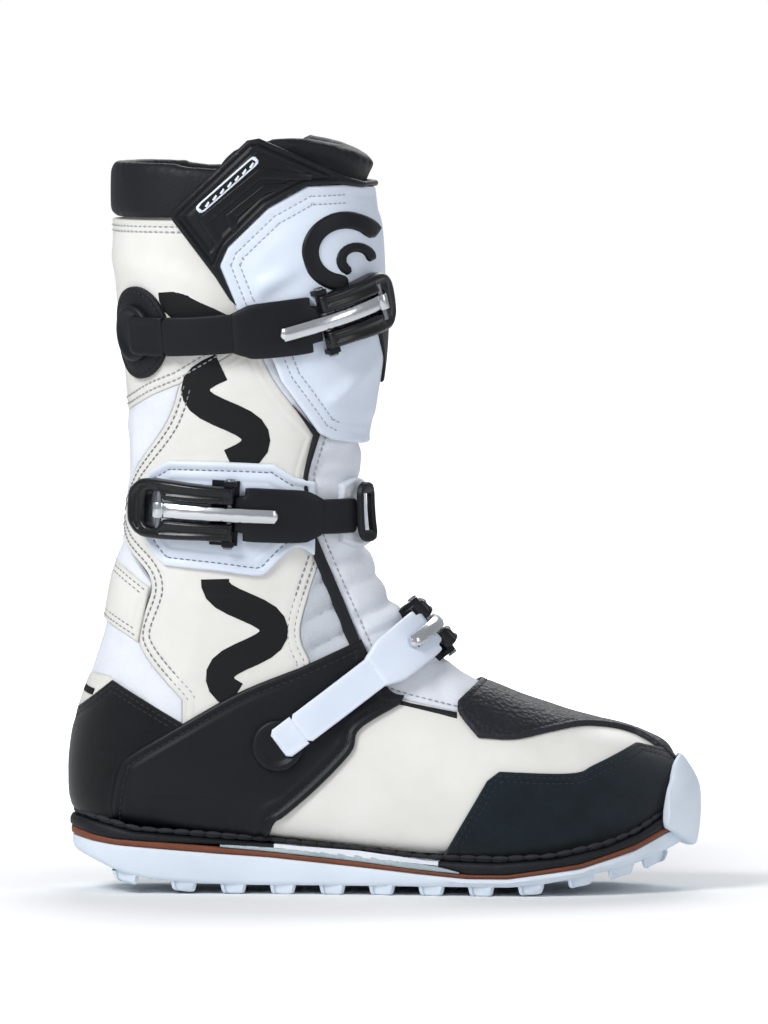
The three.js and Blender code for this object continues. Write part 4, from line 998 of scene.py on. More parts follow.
def shin_relief(base, edge, t, f):
    """A rolled edge, two sewn channels and long ridges swept back from the shin."""
    x, z = base[:, 0], base[:, 2]
    bead = 0.4 * np.exp(-((edge - 1.4) / 1.0) ** 2)
    channel = -0.35 * np.exp(-((edge - 5) / 0.8) ** 2) - 0.35 * np.exp(-((edge - 9) / 0.8) ** 2)
    inner = 0.9 * soft_step((13 - edge) * 1.2)
    ridge = 3.0 * np.exp(-((z - 300 - 0.55 * (x + 45)) / 5) ** 2) * np.exp(-((x + 55) / 12) ** 2)
    hollow = -1.6 * np.exp(-((z - 291 - 0.2 * (x + 45)) / 6) ** 2) * np.exp(-((x + 56) / 12) ** 2)
    low = 2.6 * np.exp(-((z - 243 - 0.9 * (x + 22)) / 5) ** 2) * np.exp(-((x + 22) / 14) ** 2)
    return bead + channel + (inner + ridge + hollow + low) * np.clip((edge - 9) / 5, 0, 1)


shin = Patch(*around(SHIN_EDGE, SHIN_EDGE_IN, lift=2.8))
panel("shin_lining_felt", shin, (0.4, 1.4), LINING, "shin_flap", ["shin_lining"], rim=0.4,
      spacing=5)
panel("shin_guard", shin, (1.65, 3.9), WHITE_PLASTIC, "shin_flap", ["shin_plate"], spacing=1.8,
      relief=shin_relief, crests=(1.4, 2.2, 4.2, 5, 5.8, 8.2, 9, 9.8))
threads("shin_guard_stitches", seam_lines(shin, [(1, 10, 5), (1, 10, 9)], 3.6), "shin_flap", THREAD_PALE,
        pitch=2.8,
        length=2.1, thickness=0.7)



def ribbon(line, half):
    """A closed outline round a line, with rounded ends."""
    line = curve(line, [])[0]
    ahead = np.gradient(line, axis=0)
    ahead /= np.linalg.norm(ahead, axis=1, keepdims=True)
    out = np.stack([-ahead[:, 1], ahead[:, 0]], 1) * half
    cap = [-0.9, -0.5, 0.5, 0.9]
    start = [line[0] + c * out[0] - ahead[0] * half * math.sqrt(1 - c * c) for c in cap]
    end = [line[-1] - c * out[-1] + ahead[-1] * half * math.sqrt(1 - c * c) for c in cap]
    return cleaned(np.vstack([line[1:-1] + out[1:-1], end, (line[1:-1] - out[1:-1])[::-1], start]), 0.9)


def arc_line(centre, radius, start, end):
    angles = np.radians(np.linspace(start, end, 16))
    return [(centre[0] + radius[0] * math.cos(a), centre[1] + radius[1] * math.sin(a)) for a in angles]


emblem = []
for index, (line, half) in enumerate(((arc_line((-19, 309), (16.5, 15), 262, 42), 4.3),
                                      (arc_line((-14, 305), (7, 6), 235, 10), 2.5))):
    outline = ribbon(line, half)
    emblem.append(panel(f"emblem_{index}", Patch(*one_side(outline, range(len(outline)), lift=4)), (3.2, 6.1),
                        BLACK_PLASTIC, "shin_flap", rim=1.8, spacing=1.5))
joined("shin_emblem", emblem)
spike_line = [(-24, 273), (0, 275.5), (24, 273), (14, 260), (0, 245), (-14, 260)]
spike = Patch(*one_side(spike_line, [0, 2, 4], u=AXIS_Y, keep=NORMAL[:, :, 0] > 0.2, lift=4))
panel("shin_spike", spike, (3.2, 6.6), BLACK_PLASTIC, "shin_flap", rim=0.9, spacing=2)

WING_OUT = [(-9, 342.2), (-20, 345.6), (-30, 350.5), (-59.5, 363.6), (-65.3, 362.6), (-102.2, 327.8),
            (-101.5, 324.5), (-80.6, 297.1), (-73.8, 286.5), (-70.5, 283.4)]
WING_IN = [(-78.9, 302.9), (-75.1, 311.6), (-55.9, 330.6), (-37, 341), (-20, 341.4), (-9, 339.2)]
WING_MEDIAL = [(-9, 342.2), (-20, 345.6), (-30, 350.5), (-42.6, 356), (-42.6, 338.8), (-37, 341), (-20, 341.4),
               (-9, 339.2)]


def wing_relief(base, edge, t, f):
    """Two beads along the rim, then a flat field with sunk bands."""
    x, z = base[:, 0], base[:, 2]
    beads = 0.6 * np.exp(-((edge - 1.5) / 0.9) ** 2) + 0.5 * np.exp(-((edge - 4.4) / 0.8) ** 2)
    groove = -0.5 * np.exp(-((edge - 2.9) / 0.6) ** 2) - 0.5 * np.exp(-((edge - 6) / 0.6) ** 2)
    return beads + groove


wing = Patch(*around([*WING_OUT, *WING_IN], WING_MEDIAL, lift=4.5))
panel("wing_guard", wing, (3.0, 5.3), BLACK_PLASTIC, "shin_flap", ["wing"], spacing=1.6,
      relief=wing_relief, crests=(1.5, 2.2, 2.9, 3.6, 4.4, 5.2, 6, 6.8))
chevrons = []
outer_chevron = [(-88.5, 325.5), (-59.2, 349.4), (-34, 346), (-35, 343.4), (-59.2, 343.9), (-81.2, 325.3),
                 (-76.3, 314.5), (-79.6, 311)]
inner_chevron = [(-76.1, 326.4), (-57.2, 341.6), (-43, 342.2), (-47, 339.8), (-56.2, 337.2), (-69.9, 325.9),
                 (-69.4, 319.7), (-71.7, 317.2)]
for index, line in enumerate((outer_chevron, inner_chevron)):
    chevrons.append(panel(f"chevron_{index}", Patch(*one_side(line, range(8), lift=5)), (4.9, 5.75),
                          BLACK_GLOSS,
                          "shin_flap", rim=0.35, spacing=2))
joined("wing_chevrons", chevrons)
label = Patch(*one_side(ribbon([(-87.4, 330.2), (-74.8, 341.4), (-62.2, 352.6)], 2.3), None, lift=5))
panel("wing_label", label, (5.0, 6.1), WHITE_PLASTIC, "shin_flap", rim=0.3, spacing=1.6)
label_field = Patch(*one_side(ribbon([(-86.9, 330.6), (-74.8, 341.4), (-62.7, 352.2)], 1.45), None, lift=5))
panel("wing_label_field", label_field, (5.8, 6.35), PRINT_BLACK, "shin_flap", rim=0.15,
      spacing=1.6)
dots = []
for k in range(7):
    x = -85.4 + 3.5 * k
    dash = [(x, 331.2 + 3.11 * k), (x + 1.7, 333.6 + 3.11 * k), (x + 2.3, 332.9 + 3.11 * k),
            (x + 0.9, 330.6 + 3.11 * k)]
    dots.append(panel(f"label_dash_{k}", Patch(*one_side(dash, range(4), lift=5)), (6.2, 6.6), WHITE_PLASTIC,
                      "shin_flap", rim=0.12, spacing=1.5))
joined("wing_label_dashes", dots)

# ================================================================ buckles
# Three lever buckles. Each has a moulded fork that turns on a steel pin, a polished metal bar that
# turns on the fork's axle and hooks into the strap's head, and a strap of polyurethane to its anchor.
ALUMINIUM = finish("polished aluminium", "D9DBDF", "CBCED3", "E8EAEC", 0.16, metal=1.0, pebble=2500, bump=0.05,
                   depth=0.05)
STEEL = finish("steel", "8E9196", "7F8287", "A5A8AC", 0.35, metal=1.0, pebble=2500, bump=0.08, depth=0.05)
PIN_HEIGHT = 8.0  # above the last
PIN_HALF, AXLE_HALF, EYE_HALF = 17, 9.2, 3.7  # half lengths of the pin, the axle and the bar's eye
AXLE_RADIUS = 1.5
FORK_LAYER, BLADE_LAYER = (5.9, 13.0), (9.7, 12.9)
BAND_LAYER, ROOT_LAYER, HEAD_LAYER = (5.0, 7.7), (4.6, 7.5), (5.0, 8.1)
FORK_LIFT, BLADE_LIFT, STRAP_LIFT = 9, 12, 6  # where each one's outline is laid, above the last
HEAD_SHORT = 2.8  # a strap head ends this far before its fork's pin


def unit(vector):
    return vector / np.linalg.norm(vector)


def joint_place(joint):
    return np.array(JOINTS[joint]["pos_m"]) / MM - SHIFT


def normal_near(point):
    """The last's normal at the place nearest to a point."""
    row, column = np.unravel_index(np.argmin(((LAST - point) ** 2).sum(2)), LAST.shape[:2])
    return NORMAL[row, column]


def both_sides(half):
    """A closed outline from one half of it."""
    return half + [(u, -v) for u, v in reversed(half)]


def pivot_frame(joint, u=None):
    """The frame of a buckle at its pin: n outward, u towards the loop of the fork, v along the pin."""
    pin = joint_place(joint)
    v = -unit(np.array(JOINTS[joint]["axis"], float))
    if u is None:
        normal = normal_near(pin)
        n = unit(normal - (normal @ v) * v)
        u = np.cross(v, n)
    else:
        n = np.cross(u, v)
    origin = pin - PIN_HEIGHT * n
    near = ((LAST - origin) ** 2).sum(2) < 75 ** 2
    return {"origin": origin, "u": u, "v": v, "keep": near & (NORMAL @ n > 0.12)}, n, pin


def turned(name, start, end, profile, material, body, sides=24):
    """A round part: radii at shares of the way from start to end, closed at both ends."""
    axis = unit(end - start)
    side = unit(np.cross(axis, AXIS_Z if abs(axis[2]) < 0.9 else AXIS_X))
    other = np.cross(axis, side)
    points, faces = [start], []
    for share, radius in profile:
        for k in range(sides):
            a = 2 * math.pi * k / sides
            points.append(start + (end - start) * share + radius * (math.cos(a) * side + math.sin(a) * other))
    points.append(end)
    rows = len(profile)
    for k in range(sides):
        j = (k + 1) % sides
        faces.append((0, 1 + j, 1 + k))
        for r in range(rows - 1):
            a, b = 1 + r * sides, 1 + (r + 1) * sides
            faces.append((a + k, a + j, b + j, b + k))
        faces.append((len(points) - 1, 1 + (rows - 1) * sides + k, 1 + (rows - 1) * sides + j))
    made = outward(mesh_object(name, points, faces, material))
    return belongs(made, body)


def fork_relief(base, edge, t, f):
    """A hollow along the middle of each arm."""
    return -0.7 * np.clip((edge - 2.4) / 1.2, 0, 1)


def bar_relief(base, edge, t, f):
    """Flat along the top, with bevelled flanks."""
    return -0.5 * np.clip(2.3 - edge, 0, 2.3)


def make_buckle(name, joint, beyond, tip, u=None):
    frame_here, n, pin = pivot_frame(joint, u)
    v = frame_here["v"]
    axle_point = joint_place(f"{name}_bar_hinge")
    axle = (axle_point - frame_here["origin"]) @ frame_here["u"]
    loop = axle + beyond
    outer = [(-2, 13.2), (10, 13.2), (loop - 16, 14.2), (loop - 6, 13.8), (loop - 1.5, 9.8), (loop, 5)]
    inner = [(-2, -4.6), (axle - 3, -4.7), (axle, -8.4), (loop - 10, -8.4), (loop - 8, -6)]
    fork = Patch(*one_side(both_sides(outer) + both_sides(inner), [0, 11, 12, 13, 20, 21], lift=FORK_LIFT,
                           **frame_here))
    panel(f"fork_{name}", fork, FORK_LAYER, BLACK_GLOSS, f"{name}_lever", [f"lever_{name}"],
          rim=2.2, spacing=1.5, relief=fork_relief, crests=(2.8, 3.4))
    soft_end = [(0, 0.6), (0.02, 1), (0.98, 1), (1, 0.6)]
    turned(f"axle_{name}", axle_point - AXLE_HALF * v, axle_point + AXLE_HALF * v,
           [(s, AXLE_RADIUS * r) for s, r in soft_end], STEEL, f"{name}_lever")
    blade = [(axle - 1, EYE_HALF), (axle - 1, -EYE_HALF), (tip + 1.5, -3.3), (tip, 0), (tip + 1.5, 3.3)]
    panel(f"blade_{name}", Patch(*one_side(blade, range(5), lift=BLADE_LIFT, **frame_here)), BLADE_LAYER,
          ALUMINIUM, f"{name}_bar", [f"bar_{name}"], rim=0.45, spacing=1.1, relief=bar_relief)
    turned(f"bar_eye_{name}", axle_point - EYE_HALF * v, axle_point + EYE_HALF * v,
           [(0, 1.7), (0, 2.9), (0.06, 3.2), (0.94, 3.2), (1, 2.9), (1, 1.7)], ALUMINIUM, f"{name}_bar")
    base_body = "shin_flap" if name == "top" else "boot"
    pin_piece = turned(f"pivot_pin_{name}", pin - PIN_HALF * v, pin + PIN_HALF * v,
                       [(0, 1.4), (0.006, 2.2), (0.03, 2.4), (0.034, 1.4), (0.966, 1.4), (0.97, 2.4),
                        (0.994, 2.2), (1, 1.4)], STEEL, base_body)
    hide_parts(f"pin_{name}")
    stand = NODES[f"pivot_base_{name}"]
    stand.data.materials.clear()
    stand.data.materials.append(BLACK_PLASTIC)
    return frame_here, n


def strap_view(anchor, pivot, v):
    """A frame along a strap: from its anchor to the pivot of the fork."""
    along = unit(pivot - anchor)
    across = unit(v - (v @ along) * along)
    out = np.cross(along, across)
    if out @ normal_near(anchor) < 0:
        across, out = -across, -out
    reach = (LAST - anchor) @ along
    keep = (NORMAL @ out > 0.05) & (reach > -25) & (reach < np.linalg.norm(pivot - anchor) + 15)
    return {"origin": anchor, "u": along, "v": across, "keep": keep & (abs((LAST - anchor) @ across) < 45)}


def strap_relief(view, start):
    """A shallow trough along the strap, and a dip where it goes down into its anchor."""
    def height(base, edge, t, f):
        reach = (base - view["origin"]) @ view["u"] - start
        dip = 1.6 * (1 - np.clip(reach / 6, 0, 1)) ** 2
        return -0.25 * np.clip((edge - 2.2) / 1.0, 0, 1) - dip
    return height


def head_relief(base, edge, t, f):
    return 0.9 * (1 - np.exp(-edge / 3))


def make_strap(name, view, neck, end, half, head_half, material, replaced, tail=0.3, root=None):
    start = (joint_place(f"{name}_strap_hinge") - view["origin"]) @ view["u"] - tail
    band = [(start + 2, half), (start, half - 2), (start, 2 - half), (start + 2, -half), (neck + 3, -half),
            (neck + 3, half)]
    panel(f"band_{name}", Patch(*one_side(band, range(6), lift=STRAP_LIFT, **view)), BAND_LAYER, material,
          f"{name}_strap", [f"strap_{name}"], rim=0.7, spacing=1.6)
    if root is not None:
        fixed = [(root + 2, half), (root, half - 2), (root, 2 - half), (root + 2, -half), (start + 0.2, -half),
                 (start + 0.2, half)]
        panel(f"strap_root_{name}", Patch(*one_side(fixed, range(6), lift=STRAP_LIFT, **view)), ROOT_LAYER,
              material, "boot", rim=0.7, spacing=1.6, relief=strap_relief(view, root))
    head = both_sides([(neck - 2, half + 0.2), (neck + 3, head_half - 1.6), (neck + 9, head_half),
                       (end - 9, head_half + 0.4), (end - 4.5, head_half), (end - 4.5, 9), (end, 8.4)])
    panel(f"head_{name}", Patch(*one_side(head, [0, 4, 5, 6, 7, 8, 9, 13], lift=STRAP_LIFT, **view)),
          HEAD_LAYER, material, f"{name}_strap", replaced, rim=0.9, spacing=1.8, relief=head_relief)


def spot(x, z):
    """The place of the last at a lateral side-view point, as a frame to look along its normal."""
    point, normal = (p[0] for p in on_last(*locate([(x, z)]).T))
    u = unit(np.cross(AXIS_Z, normal))
    v = np.cross(normal, u)
    near = ((LAST - point) ** 2).sum(2) < 40 ** 2
    return {"origin": point, "u": u, "v": v, "keep": near & (NORMAL @ normal > 0.2)}


def oval(a, b, count=40):
    return [(a * math.cos(2 * math.pi * k / count),
             b * math.sin(2 * math.pi * k / count)) for k in range(count)]


def dished(base, edge, t, f):
    """A raised ring round a sunk middle."""
    return 0.3 * np.exp(-((edge - 2.2) / 1) ** 2) - 1.3 * np.clip((edge - 3.4) / 1.6, 0, 1)


def make_disc(name, seat, radii, layer, node_name):
    disc = Patch(*one_side(oval(*radii), [0], **seat))
    return panel(name, disc, layer, BLACK_PLASTIC, "boot", [node_name], rim=1.3, spacing=1.4,
                 relief=dished, crests=(2.2, 3.4, 5))


top_frame, top_n = make_buckle("top", "top_lever_hinge", 8.5, -25)
top_seat = spot(-117.3, 270)
flange = Patch(*one_side(oval(18.5, 22.2), [0], **top_seat))
panel("anchor_flange_oval", flange, (0.3, 2.9), BLACK_LEATHER, "boot", ["anchor_flange_top"],
      rim=1.0, spacing=2, grooves=(2.6,))
threads("anchor_flange_stitches", seam_lines(flange, [(0, 0, 2.6)], 2.7), "boot", THREAD_BLACK)
make_disc("anchor_oval_top", top_seat, (11.5, 13.6), (3.2, 6.2), "anchor_disc_top")
top_view = strap_view(top_seat["origin"], top_frame["origin"], top_frame["v"])
reach = (top_frame["origin"] + PIN_HEIGHT * top_n - top_seat["origin"]) @ top_view["u"]
make_strap("top", top_view, 50, reach - HEAD_SHORT, 9.2, 13, BLACK_PLASTIC, ["strap_head_top"],
           root=-4)

middle_line = [(-111.8, 203), (-102.7, 208.8), (-75, 208.4), (-52.8, 207.4), (-43.2, 201.1), (-33.6, 198.7),
               (-33.6, 163), (-43.2, 167), (-55.7, 155.5), (-61, 153.6), (-80, 156), (-104.6, 158.4),
               (-109, 163), (-116.2, 174.7), (-116, 190)]


def octagon_relief(base, edge, t, f):
    x = base[:, 0]
    back = soft_step((x + 45) * 1.5)
    bead = 0.5 * np.exp(-((edge - 1.6) / 0.9) ** 2)
    channels = -0.5 * np.exp(-((edge - 4) / 0.8) ** 2) - 0.5 * np.exp(-((edge - 9) / 0.8) ** 2)
    raised = 0.8 * soft_step((6.5 - edge) * 2)
    return bead + channels + raised * back


octagon = Patch(*one_side(middle_line, [0, 1, 3, 4, 5, 6, 8, 11, 13]))
panel("buckle_plate_octagon", octagon, THIN_OVERLAY, WHITE_PLASTIC, "boot",
      ["buckle_plate_middle"], spacing=1.6, relief=octagon_relief, crests=(1.6, 3.2, 4, 4.8, 6.5, 8.2, 9, 9.8))
threads("buckle_plate_stitches", seam_lines(octagon, [(6, 4, 4), (7, 3, 9)], 1.75), "boot", THREAD_GREY)
middle_frame, middle_n = make_buckle("middle", "middle_lever_hinge", 13.5, -24)
eye = joint_place("middle_strap_hinge")
eye_v = -unit(np.array(JOINTS["middle_strap_hinge"]["axis"], float))
eye_n = normal_near(eye)
eye_n = unit(eye_n - (eye_n @ eye_v) * eye_v)
eye_u = np.cross(eye_v, eye_n)
if eye_u[0] > 0:
    eye_u, eye_v = -eye_u, -eye_v
ring_origin = eye - 5.1 * eye_u - 9.7 * eye_n
ring_view = {"origin": ring_origin, "u": eye_u, "v": eye_v,
             "keep": (((LAST - ring_origin) ** 2).sum(2) < 55 ** 2) & (NORMAL @ eye_n > 0.1)}
RING_LIFT = 9
tab_line = [(12, 14), (12, -14), (0, -17), (-14, -15), (-20, -8), (-20, 8), (-14, 15), (0, 17)]
panel("ring_tab_leather", Patch(*one_side(tab_line, [0, 1], **ring_view)), (0.4, 4.4), SOFT, "boot",
      ["ring_tab"], rim=1.8, spacing=2, grooves=(3,))
loop_outer, _ = one_side(both_sides([(-7, 9), (-5, 13), (0, 14.5), (5, 13), (7.0, 9)]), [0, 4, 5, 9],
                         lift=RING_LIFT, **ring_view)
loop_hole, _ = one_side(both_sides([(-3.6, 8.9), (3.7, 8.9)]), range(4), lift=RING_LIFT, **ring_view)
panel("strap_ring", Patch(loop_outer, holes=[loop_hole]), (8.1, 11.3), BLACK_PLASTIC, "boot",
      ["ring_middle"], rim=1.1, spacing=1.4)
middle_view = strap_view(ring_origin, middle_frame["origin"], middle_frame["v"])
reach = (middle_frame["origin"] + PIN_HEIGHT * middle_n - ring_origin) @ middle_view["u"]
make_strap("middle", middle_view, reach - 43, reach - HEAD_SHORT, 8.3, 12.6, BLACK_PLASTIC,
           ["strap_head_middle"], tail=-2.2)

low_frame, low_n = make_buckle("low", "low_lever_hinge", 9, -27, u=AXIS_Y)
low_seat = spot(-50.9, 72)
make_disc("anchor_round_low", low_seat, (12.6, 12.6), (2.8, 5.6), "anchor_disc_low")
low_view = strap_view(low_seat["origin"], low_frame["origin"], low_frame["v"])
reach = (low_frame["origin"] + PIN_HEIGHT * low_n - low_seat["origin"]) @ low_view["u"]
make_strap("low", low_view, reach - 42, reach - HEAD_SHORT, 8, 11.6, WHITE_PLASTIC,
           ["strap_head_low"], root=-2)

# ================================================================ sole unit
# A leather welt stitched all round with thick black thread, a brown midsole, a textured strip in the
# waist, and a white rubber outsole with blocks in three rows and a bumper over the toe.
WHITE_RUBBER = finish("white rubber", "DCE6F1", "D2DDE9", "E8EEF5", 0.5, pebble=1500, bump=0.12, depth=0.12)
BROWN = finish("brown midsole", "7A4024", "6A341C", "8C5030", 0.55, pebble=1200, bump=0.2, depth=0.12)
GREY_STRIP = finish("grey textured strip", "B9C8CD", "9AAAB0", "CCD8DC", 0.75, pebble=500, bump=1.0, depth=0.5)
SOLE_PLAN = [(-147, 10, 10), (-143, 20, 20), (-134, 29, 29), (-118, 34, 34), (-85, 34, 33), (-45, 36, 31),
             (-5, 41, 33), (30, 47, 39), (60, 51, 45), (84, 50.5, 47.5), (104, 45, 46.5), (120, 36, 42.5),
             (132, 24, 35), (140, 11, 26), (144.5, 0, 16)]
FEATHER = [(-160, 38), (-146, 38), (-120, 31.5), (-85, 28.5), (-48, 25.5), (-12, 21.5), (22, 18.5), (54, 17.5),
           (82, 19.5), (106, 24.5), (123, 31), (134, 38), (160, 45)]
FLANGE = [(-160, 32.5), (-150, 31.6), (-140, 28.6), (-130, 26.8), (-107, 25.3), (-80, 24.2), (-56, 23.4),
          (-12, 20.4),
          (16, 16.7), (32, 13), (40, 10.8), (59, 10.8), (94, 16), (120, 24.2), (136, 32), (160, 40)]
WAIST = [(-160, 32.5), (-150, 31.6), (-140, 28.6), (-130, 26.8), (-107, 25.3), (-80, 23), (-56, 20.9),
         (-12, 16.4), (16, 12.9), (39, 10.8), (59, 10.8), (94, 16), (120, 24.2), (136, 32), (160, 40)]
MIDSOLE = [(-160, 28.5), (-150, 27.7), (-140, 25.6), (-130, 24.1), (-107, 22.2), (-80, 20), (-56, 18.4),
           (-12, 14), (16, 11), (39, 8.9), (59, 8.9), (94, 13.7), (120, 21.4), (136, 29), (160, 37)]
TREAD = [(-160, 24), (-150, 20.6), (-137, 15), (-126, 10), (-111, 7), (-88, 5), (-60, 4.4), (60, 4.4),
         (75, 5.7), (97, 9.6), (118, 14), (132, 18.5), (142, 22.5), (160, 31)]


def height_at(table, x):
    return np.interp(x, *np.array(table, float).T)


def sole_loop(step=2.0):
    """The plan of the sole as a closed smooth line, with its outward direction."""
    lateral, _ = curve([(x, -a) for x, a, b in SOLE_PLAN], [0, len(SOLE_PLAN) - 1], step=step)
    medial, _ = curve([(x, b) for x, a, b in SOLE_PLAN], [0, len(SOLE_PLAN) - 1], step=step)
    loop = np.concatenate([lateral, medial[::-1]])
    length = np.concatenate([[0], np.cumsum(np.linalg.norm(np.diff(np.vstack([loop, loop[:1]]), axis=0),
                                                           axis=1))])
    s = np.arange(0, length[-1], step)
    closed = np.vstack([loop, loop[:1]])
    loop = np.stack([np.interp(s, length, closed[:, k]) for k in (0, 1)], 1)
    for _ in range(6):
        loop = (np.roll(loop, 1, 0) + 2 * loop + np.roll(loop, -1, 0)) / 4
    ahead = np.roll(loop, -1, 0) - np.roll(loop, 1, 0)
    out = np.stack([ahead[:, 1], -ahead[:, 0]], 1)
    out /= np.linalg.norm(out, axis=1, keepdims=True)
    return loop, out


SOLE_LOOP, SOLE_OUT = sole_loop()
SOLE_LENGTH = np.concatenate([[0], np.cumsum(np.linalg.norm(np.diff(SOLE_LOOP, axis=0), axis=1))])


def edge_ring(margin, where=slice(None)):
    return SOLE_LOOP[where] + margin * SOLE_OUT[where]


def slab(name, rows, material, replaced, ripple=None):
    """A flat body round the sole: rows of (margin, height) from the top in, over the side, to the bottom."""
    loops = []
    for margin, table, lift in rows:
        ring = edge_ring(margin)
        loops.append(np.column_stack([ring, height_at(table, ring[:, 0]) + lift]))
    count = len(SOLE_LOOP)
    points = np.concatenate(loops)
    if ripple is not None:
        points = ripple(points)
    faces = []
    for r in range(len(rows) - 1):
        for k in range(count):
            j = (k + 1) % count
            faces.append((r * count + k, r * count + j, (r + 1) * count + j, (r + 1) * count + k))
    points = points.tolist()
    for row, table, lift in ((0, rows[0][1], rows[0][2]), (len(rows) - 1, rows[-1][1], rows[-1][2])):
        ring = edge_ring(rows[row][0])
        rungs = np.array([(x, y) for x in np.arange(-150, 150, 9) for y in np.arange(-54, 56, 9)])
        rungs = rungs[inside(rungs, [edge_ring(rows[row][0] - 4)])]
        flat = np.concatenate([ring, rungs])
        edges = [(k, (k + 1) % count) for k in range(count)]
        verts, _, tris, *_ = delaunay_2d_cdt([Vector(p) for p in flat.tolist()], edges, [], 0, 1e-5)
        verts = np.array([tuple(v) for v in verts])
        middle = verts[np.array(tris)].mean(1)
        tris = [t for t, ok in zip(tris, inside(middle, [ring])) if ok]
        start = len(points)
        extra = verts[count:]
        points += np.column_stack([extra, height_at(table, extra[:, 0]) + lift]).tolist()
        faces += [tuple(row * count + i if i < count else start + i - count for i in t) for t in tris]
    made = outward(mesh_object(name, points, faces, material))
    return belongs(made, "boot", replaced)


WELT = [(-6, FEATHER, -1.4), (2.5, FEATHER, -1.4), (3.8, FEATHER, -1.9), (4.5, FEATHER, -3.2),
        (4.5, FLANGE, 1.2), (4.1, FLANGE, 0.4), (3.4, FLANGE, 0)]
welt = slab("welt_strip", WELT, BLACK_LEATHER, ["welt"])
welt.data.materials.append(SOFT)
for face in welt.data.polygons:
    x, y = face.center.x / MM, face.center.y / MM
    if -53 < x < 26 and y < 20:
        face.material_index = 1
waist = [k for k, (x, y) in enumerate(SOLE_LOOP) if -80 < x < 38]
slab("midsole_layer", [(-4, WAIST, 0), (3.0, WAIST, 0), (3.7, WAIST, -0.5), (3.9, WAIST, -1.0),
                       (3.9, MIDSOLE, 0.9),
                       (3.6, MIDSOLE, 0.3), (3.0, MIDSOLE, 0), (-4, MIDSOLE, 0)], BROWN,
     ["midsole"])


def waist_strip():
    """The textured strip that fills the waist between welt and midsole, on both sides."""
    points, faces = [], []
    for sign in (-1, 1):
        run = [k for k in waist if SOLE_LOOP[k][1] * sign > 0]
        run = sorted(run, key=lambda k: SOLE_LOOP[k][0])
        start = len(points)
        profile = ((-2, 0), (3.6, 0), (4.2, 0.12), (4.5, 0.35), (4.5, 0.65), (4.2, 0.88), (3.6, 1), (-2, 1))
        for k in run:
            x = SOLE_LOOP[k][0]
            for margin, share in profile:
                ridge = 0.2 * math.sin(x * 2.4 + share * 5) if 0.1 < share < 0.9 else 0
                place = SOLE_LOOP[k] + (margin + ridge) * SOLE_OUT[k]
                high, low = height_at(FLANGE, x) - 0.05, height_at(WAIST, x) + 0.05
                points.append((*place, high + (low - high) * share))
        size = len(profile)
        for r in range(len(run) - 1):
            for k in range(size):
                j = (k + 1) % size
                a, b = start + r * size, start + (r + 1) * size
                faces.append((a + k, a + j, b + j, b + k))
        faces.append(tuple(start + k for k in range(size)))
        faces.append(tuple(start + (len(run) - 1) * size + k for k in reversed(range(size))))
    return outward(mesh_object("waist_strip", points, faces, GREY_STRIP))


belongs(waist_strip(), "boot", ["arch_strip"])

slab("outsole_rubber", [(-4, MIDSOLE, -0.3), (2.6, MIDSOLE, -0.3), (3.2, MIDSOLE, -0.8), (3.4, MIDSOLE, -2.4),
                        (3.2, TREAD, 2.6), (2.6, TREAD, 1.0), (1.6, TREAD, 0.2), (0, TREAD, 0)],
     WHITE_RUBBER, ["outsole"])

LUG_PITCH, LUG_ROOT, LUG_TIP, LUG_HEIGHT = 23.8, 13.4, 10.5, 4.4
ROW_INNER, ROW_OUTER = 10.5, 15.5  # the two grooves between the three rows
LUG_ROWS = [-124, *np.arange(-96.2, 100, LUG_PITCH), 113.5, 130]


def lugs():
    """Tapered blocks in three rows, rounded at their corners, that follow the rocker of the sole."""
    points, faces = [], []
    for x in LUG_ROWS:
        near = SOLE_LOOP + 2 * SOLE_OUT
        sides = []
        for end in (x - LUG_ROOT / 2, x + LUG_ROOT / 2):
            for sign in (-1, 1):
                choice = near[near[:, 1] * sign > 0]
                sides.append(sign * np.interp(end, *choice[np.argsort(choice[:, 0])].T * np.array([[1],
                                                                                                   [sign]])))
        low_a, high_a, low_b, high_b = sides
        spans = [((low_a, low_b), (-ROW_OUTER, -ROW_OUTER)), ((-ROW_INNER, -ROW_INNER), (ROW_INNER, ROW_INNER)),
                 ((ROW_OUTER, ROW_OUTER), (high_a, high_b))]
        for (y0a, y0b), (y1a, y1b) in spans:
            if y1a - y0a < 5 or y1b - y0b < 5:
                continue
            start = len(points)
            up = height_at(TREAD, x) + 1.5
            down = lambda dx: max(0.0, float(height_at(TREAD, x + dx)) - LUG_HEIGHT)
            middle = (y0a + y0b + y1a + y1b) / 4
            for share, inset in ((0, 0), (0.78, 0.0), (0.93, 0.35), (1, 1.1)):
                half = (LUG_ROOT + (LUG_TIP - LUG_ROOT) * share) / 2 - inset
                for sx, ya, yb in ((-1, y0a, y1a), (1, y0b, y1b)):
                    ends = (ya, yb) if sx < 0 else (yb, ya)
                    for n, y in enumerate(ends):
                        pull = (0.5 * share + inset) * (1 if y < middle else -1)
                        for corner in ((0, 1) if (n == 0) == (sx < 0) else (1, 0)):
                            cx = sx * (half - (1.6 if corner else 0))
                            cy = y + pull + (0 if corner else (1.6 if y < middle else -1.6))
                            z = up + (down(cx) - up) * share
                            points.append((x + cx, cy, z))
            for r in range(3):
                for k in range(8):
                    j = (k + 1) % 8
                    a, b = start + r * 8, start + (r + 1) * 8
                    faces.append((a + k, a + j, b + j, b + k))
            faces.append(tuple(start + k for k in reversed(range(8))))
            faces.append(tuple(start + 24 + k for k in range(8)))
    return outward(mesh_object("lug_blocks", points, faces, WHITE_RUBBER))


belongs(lugs(), "boot")


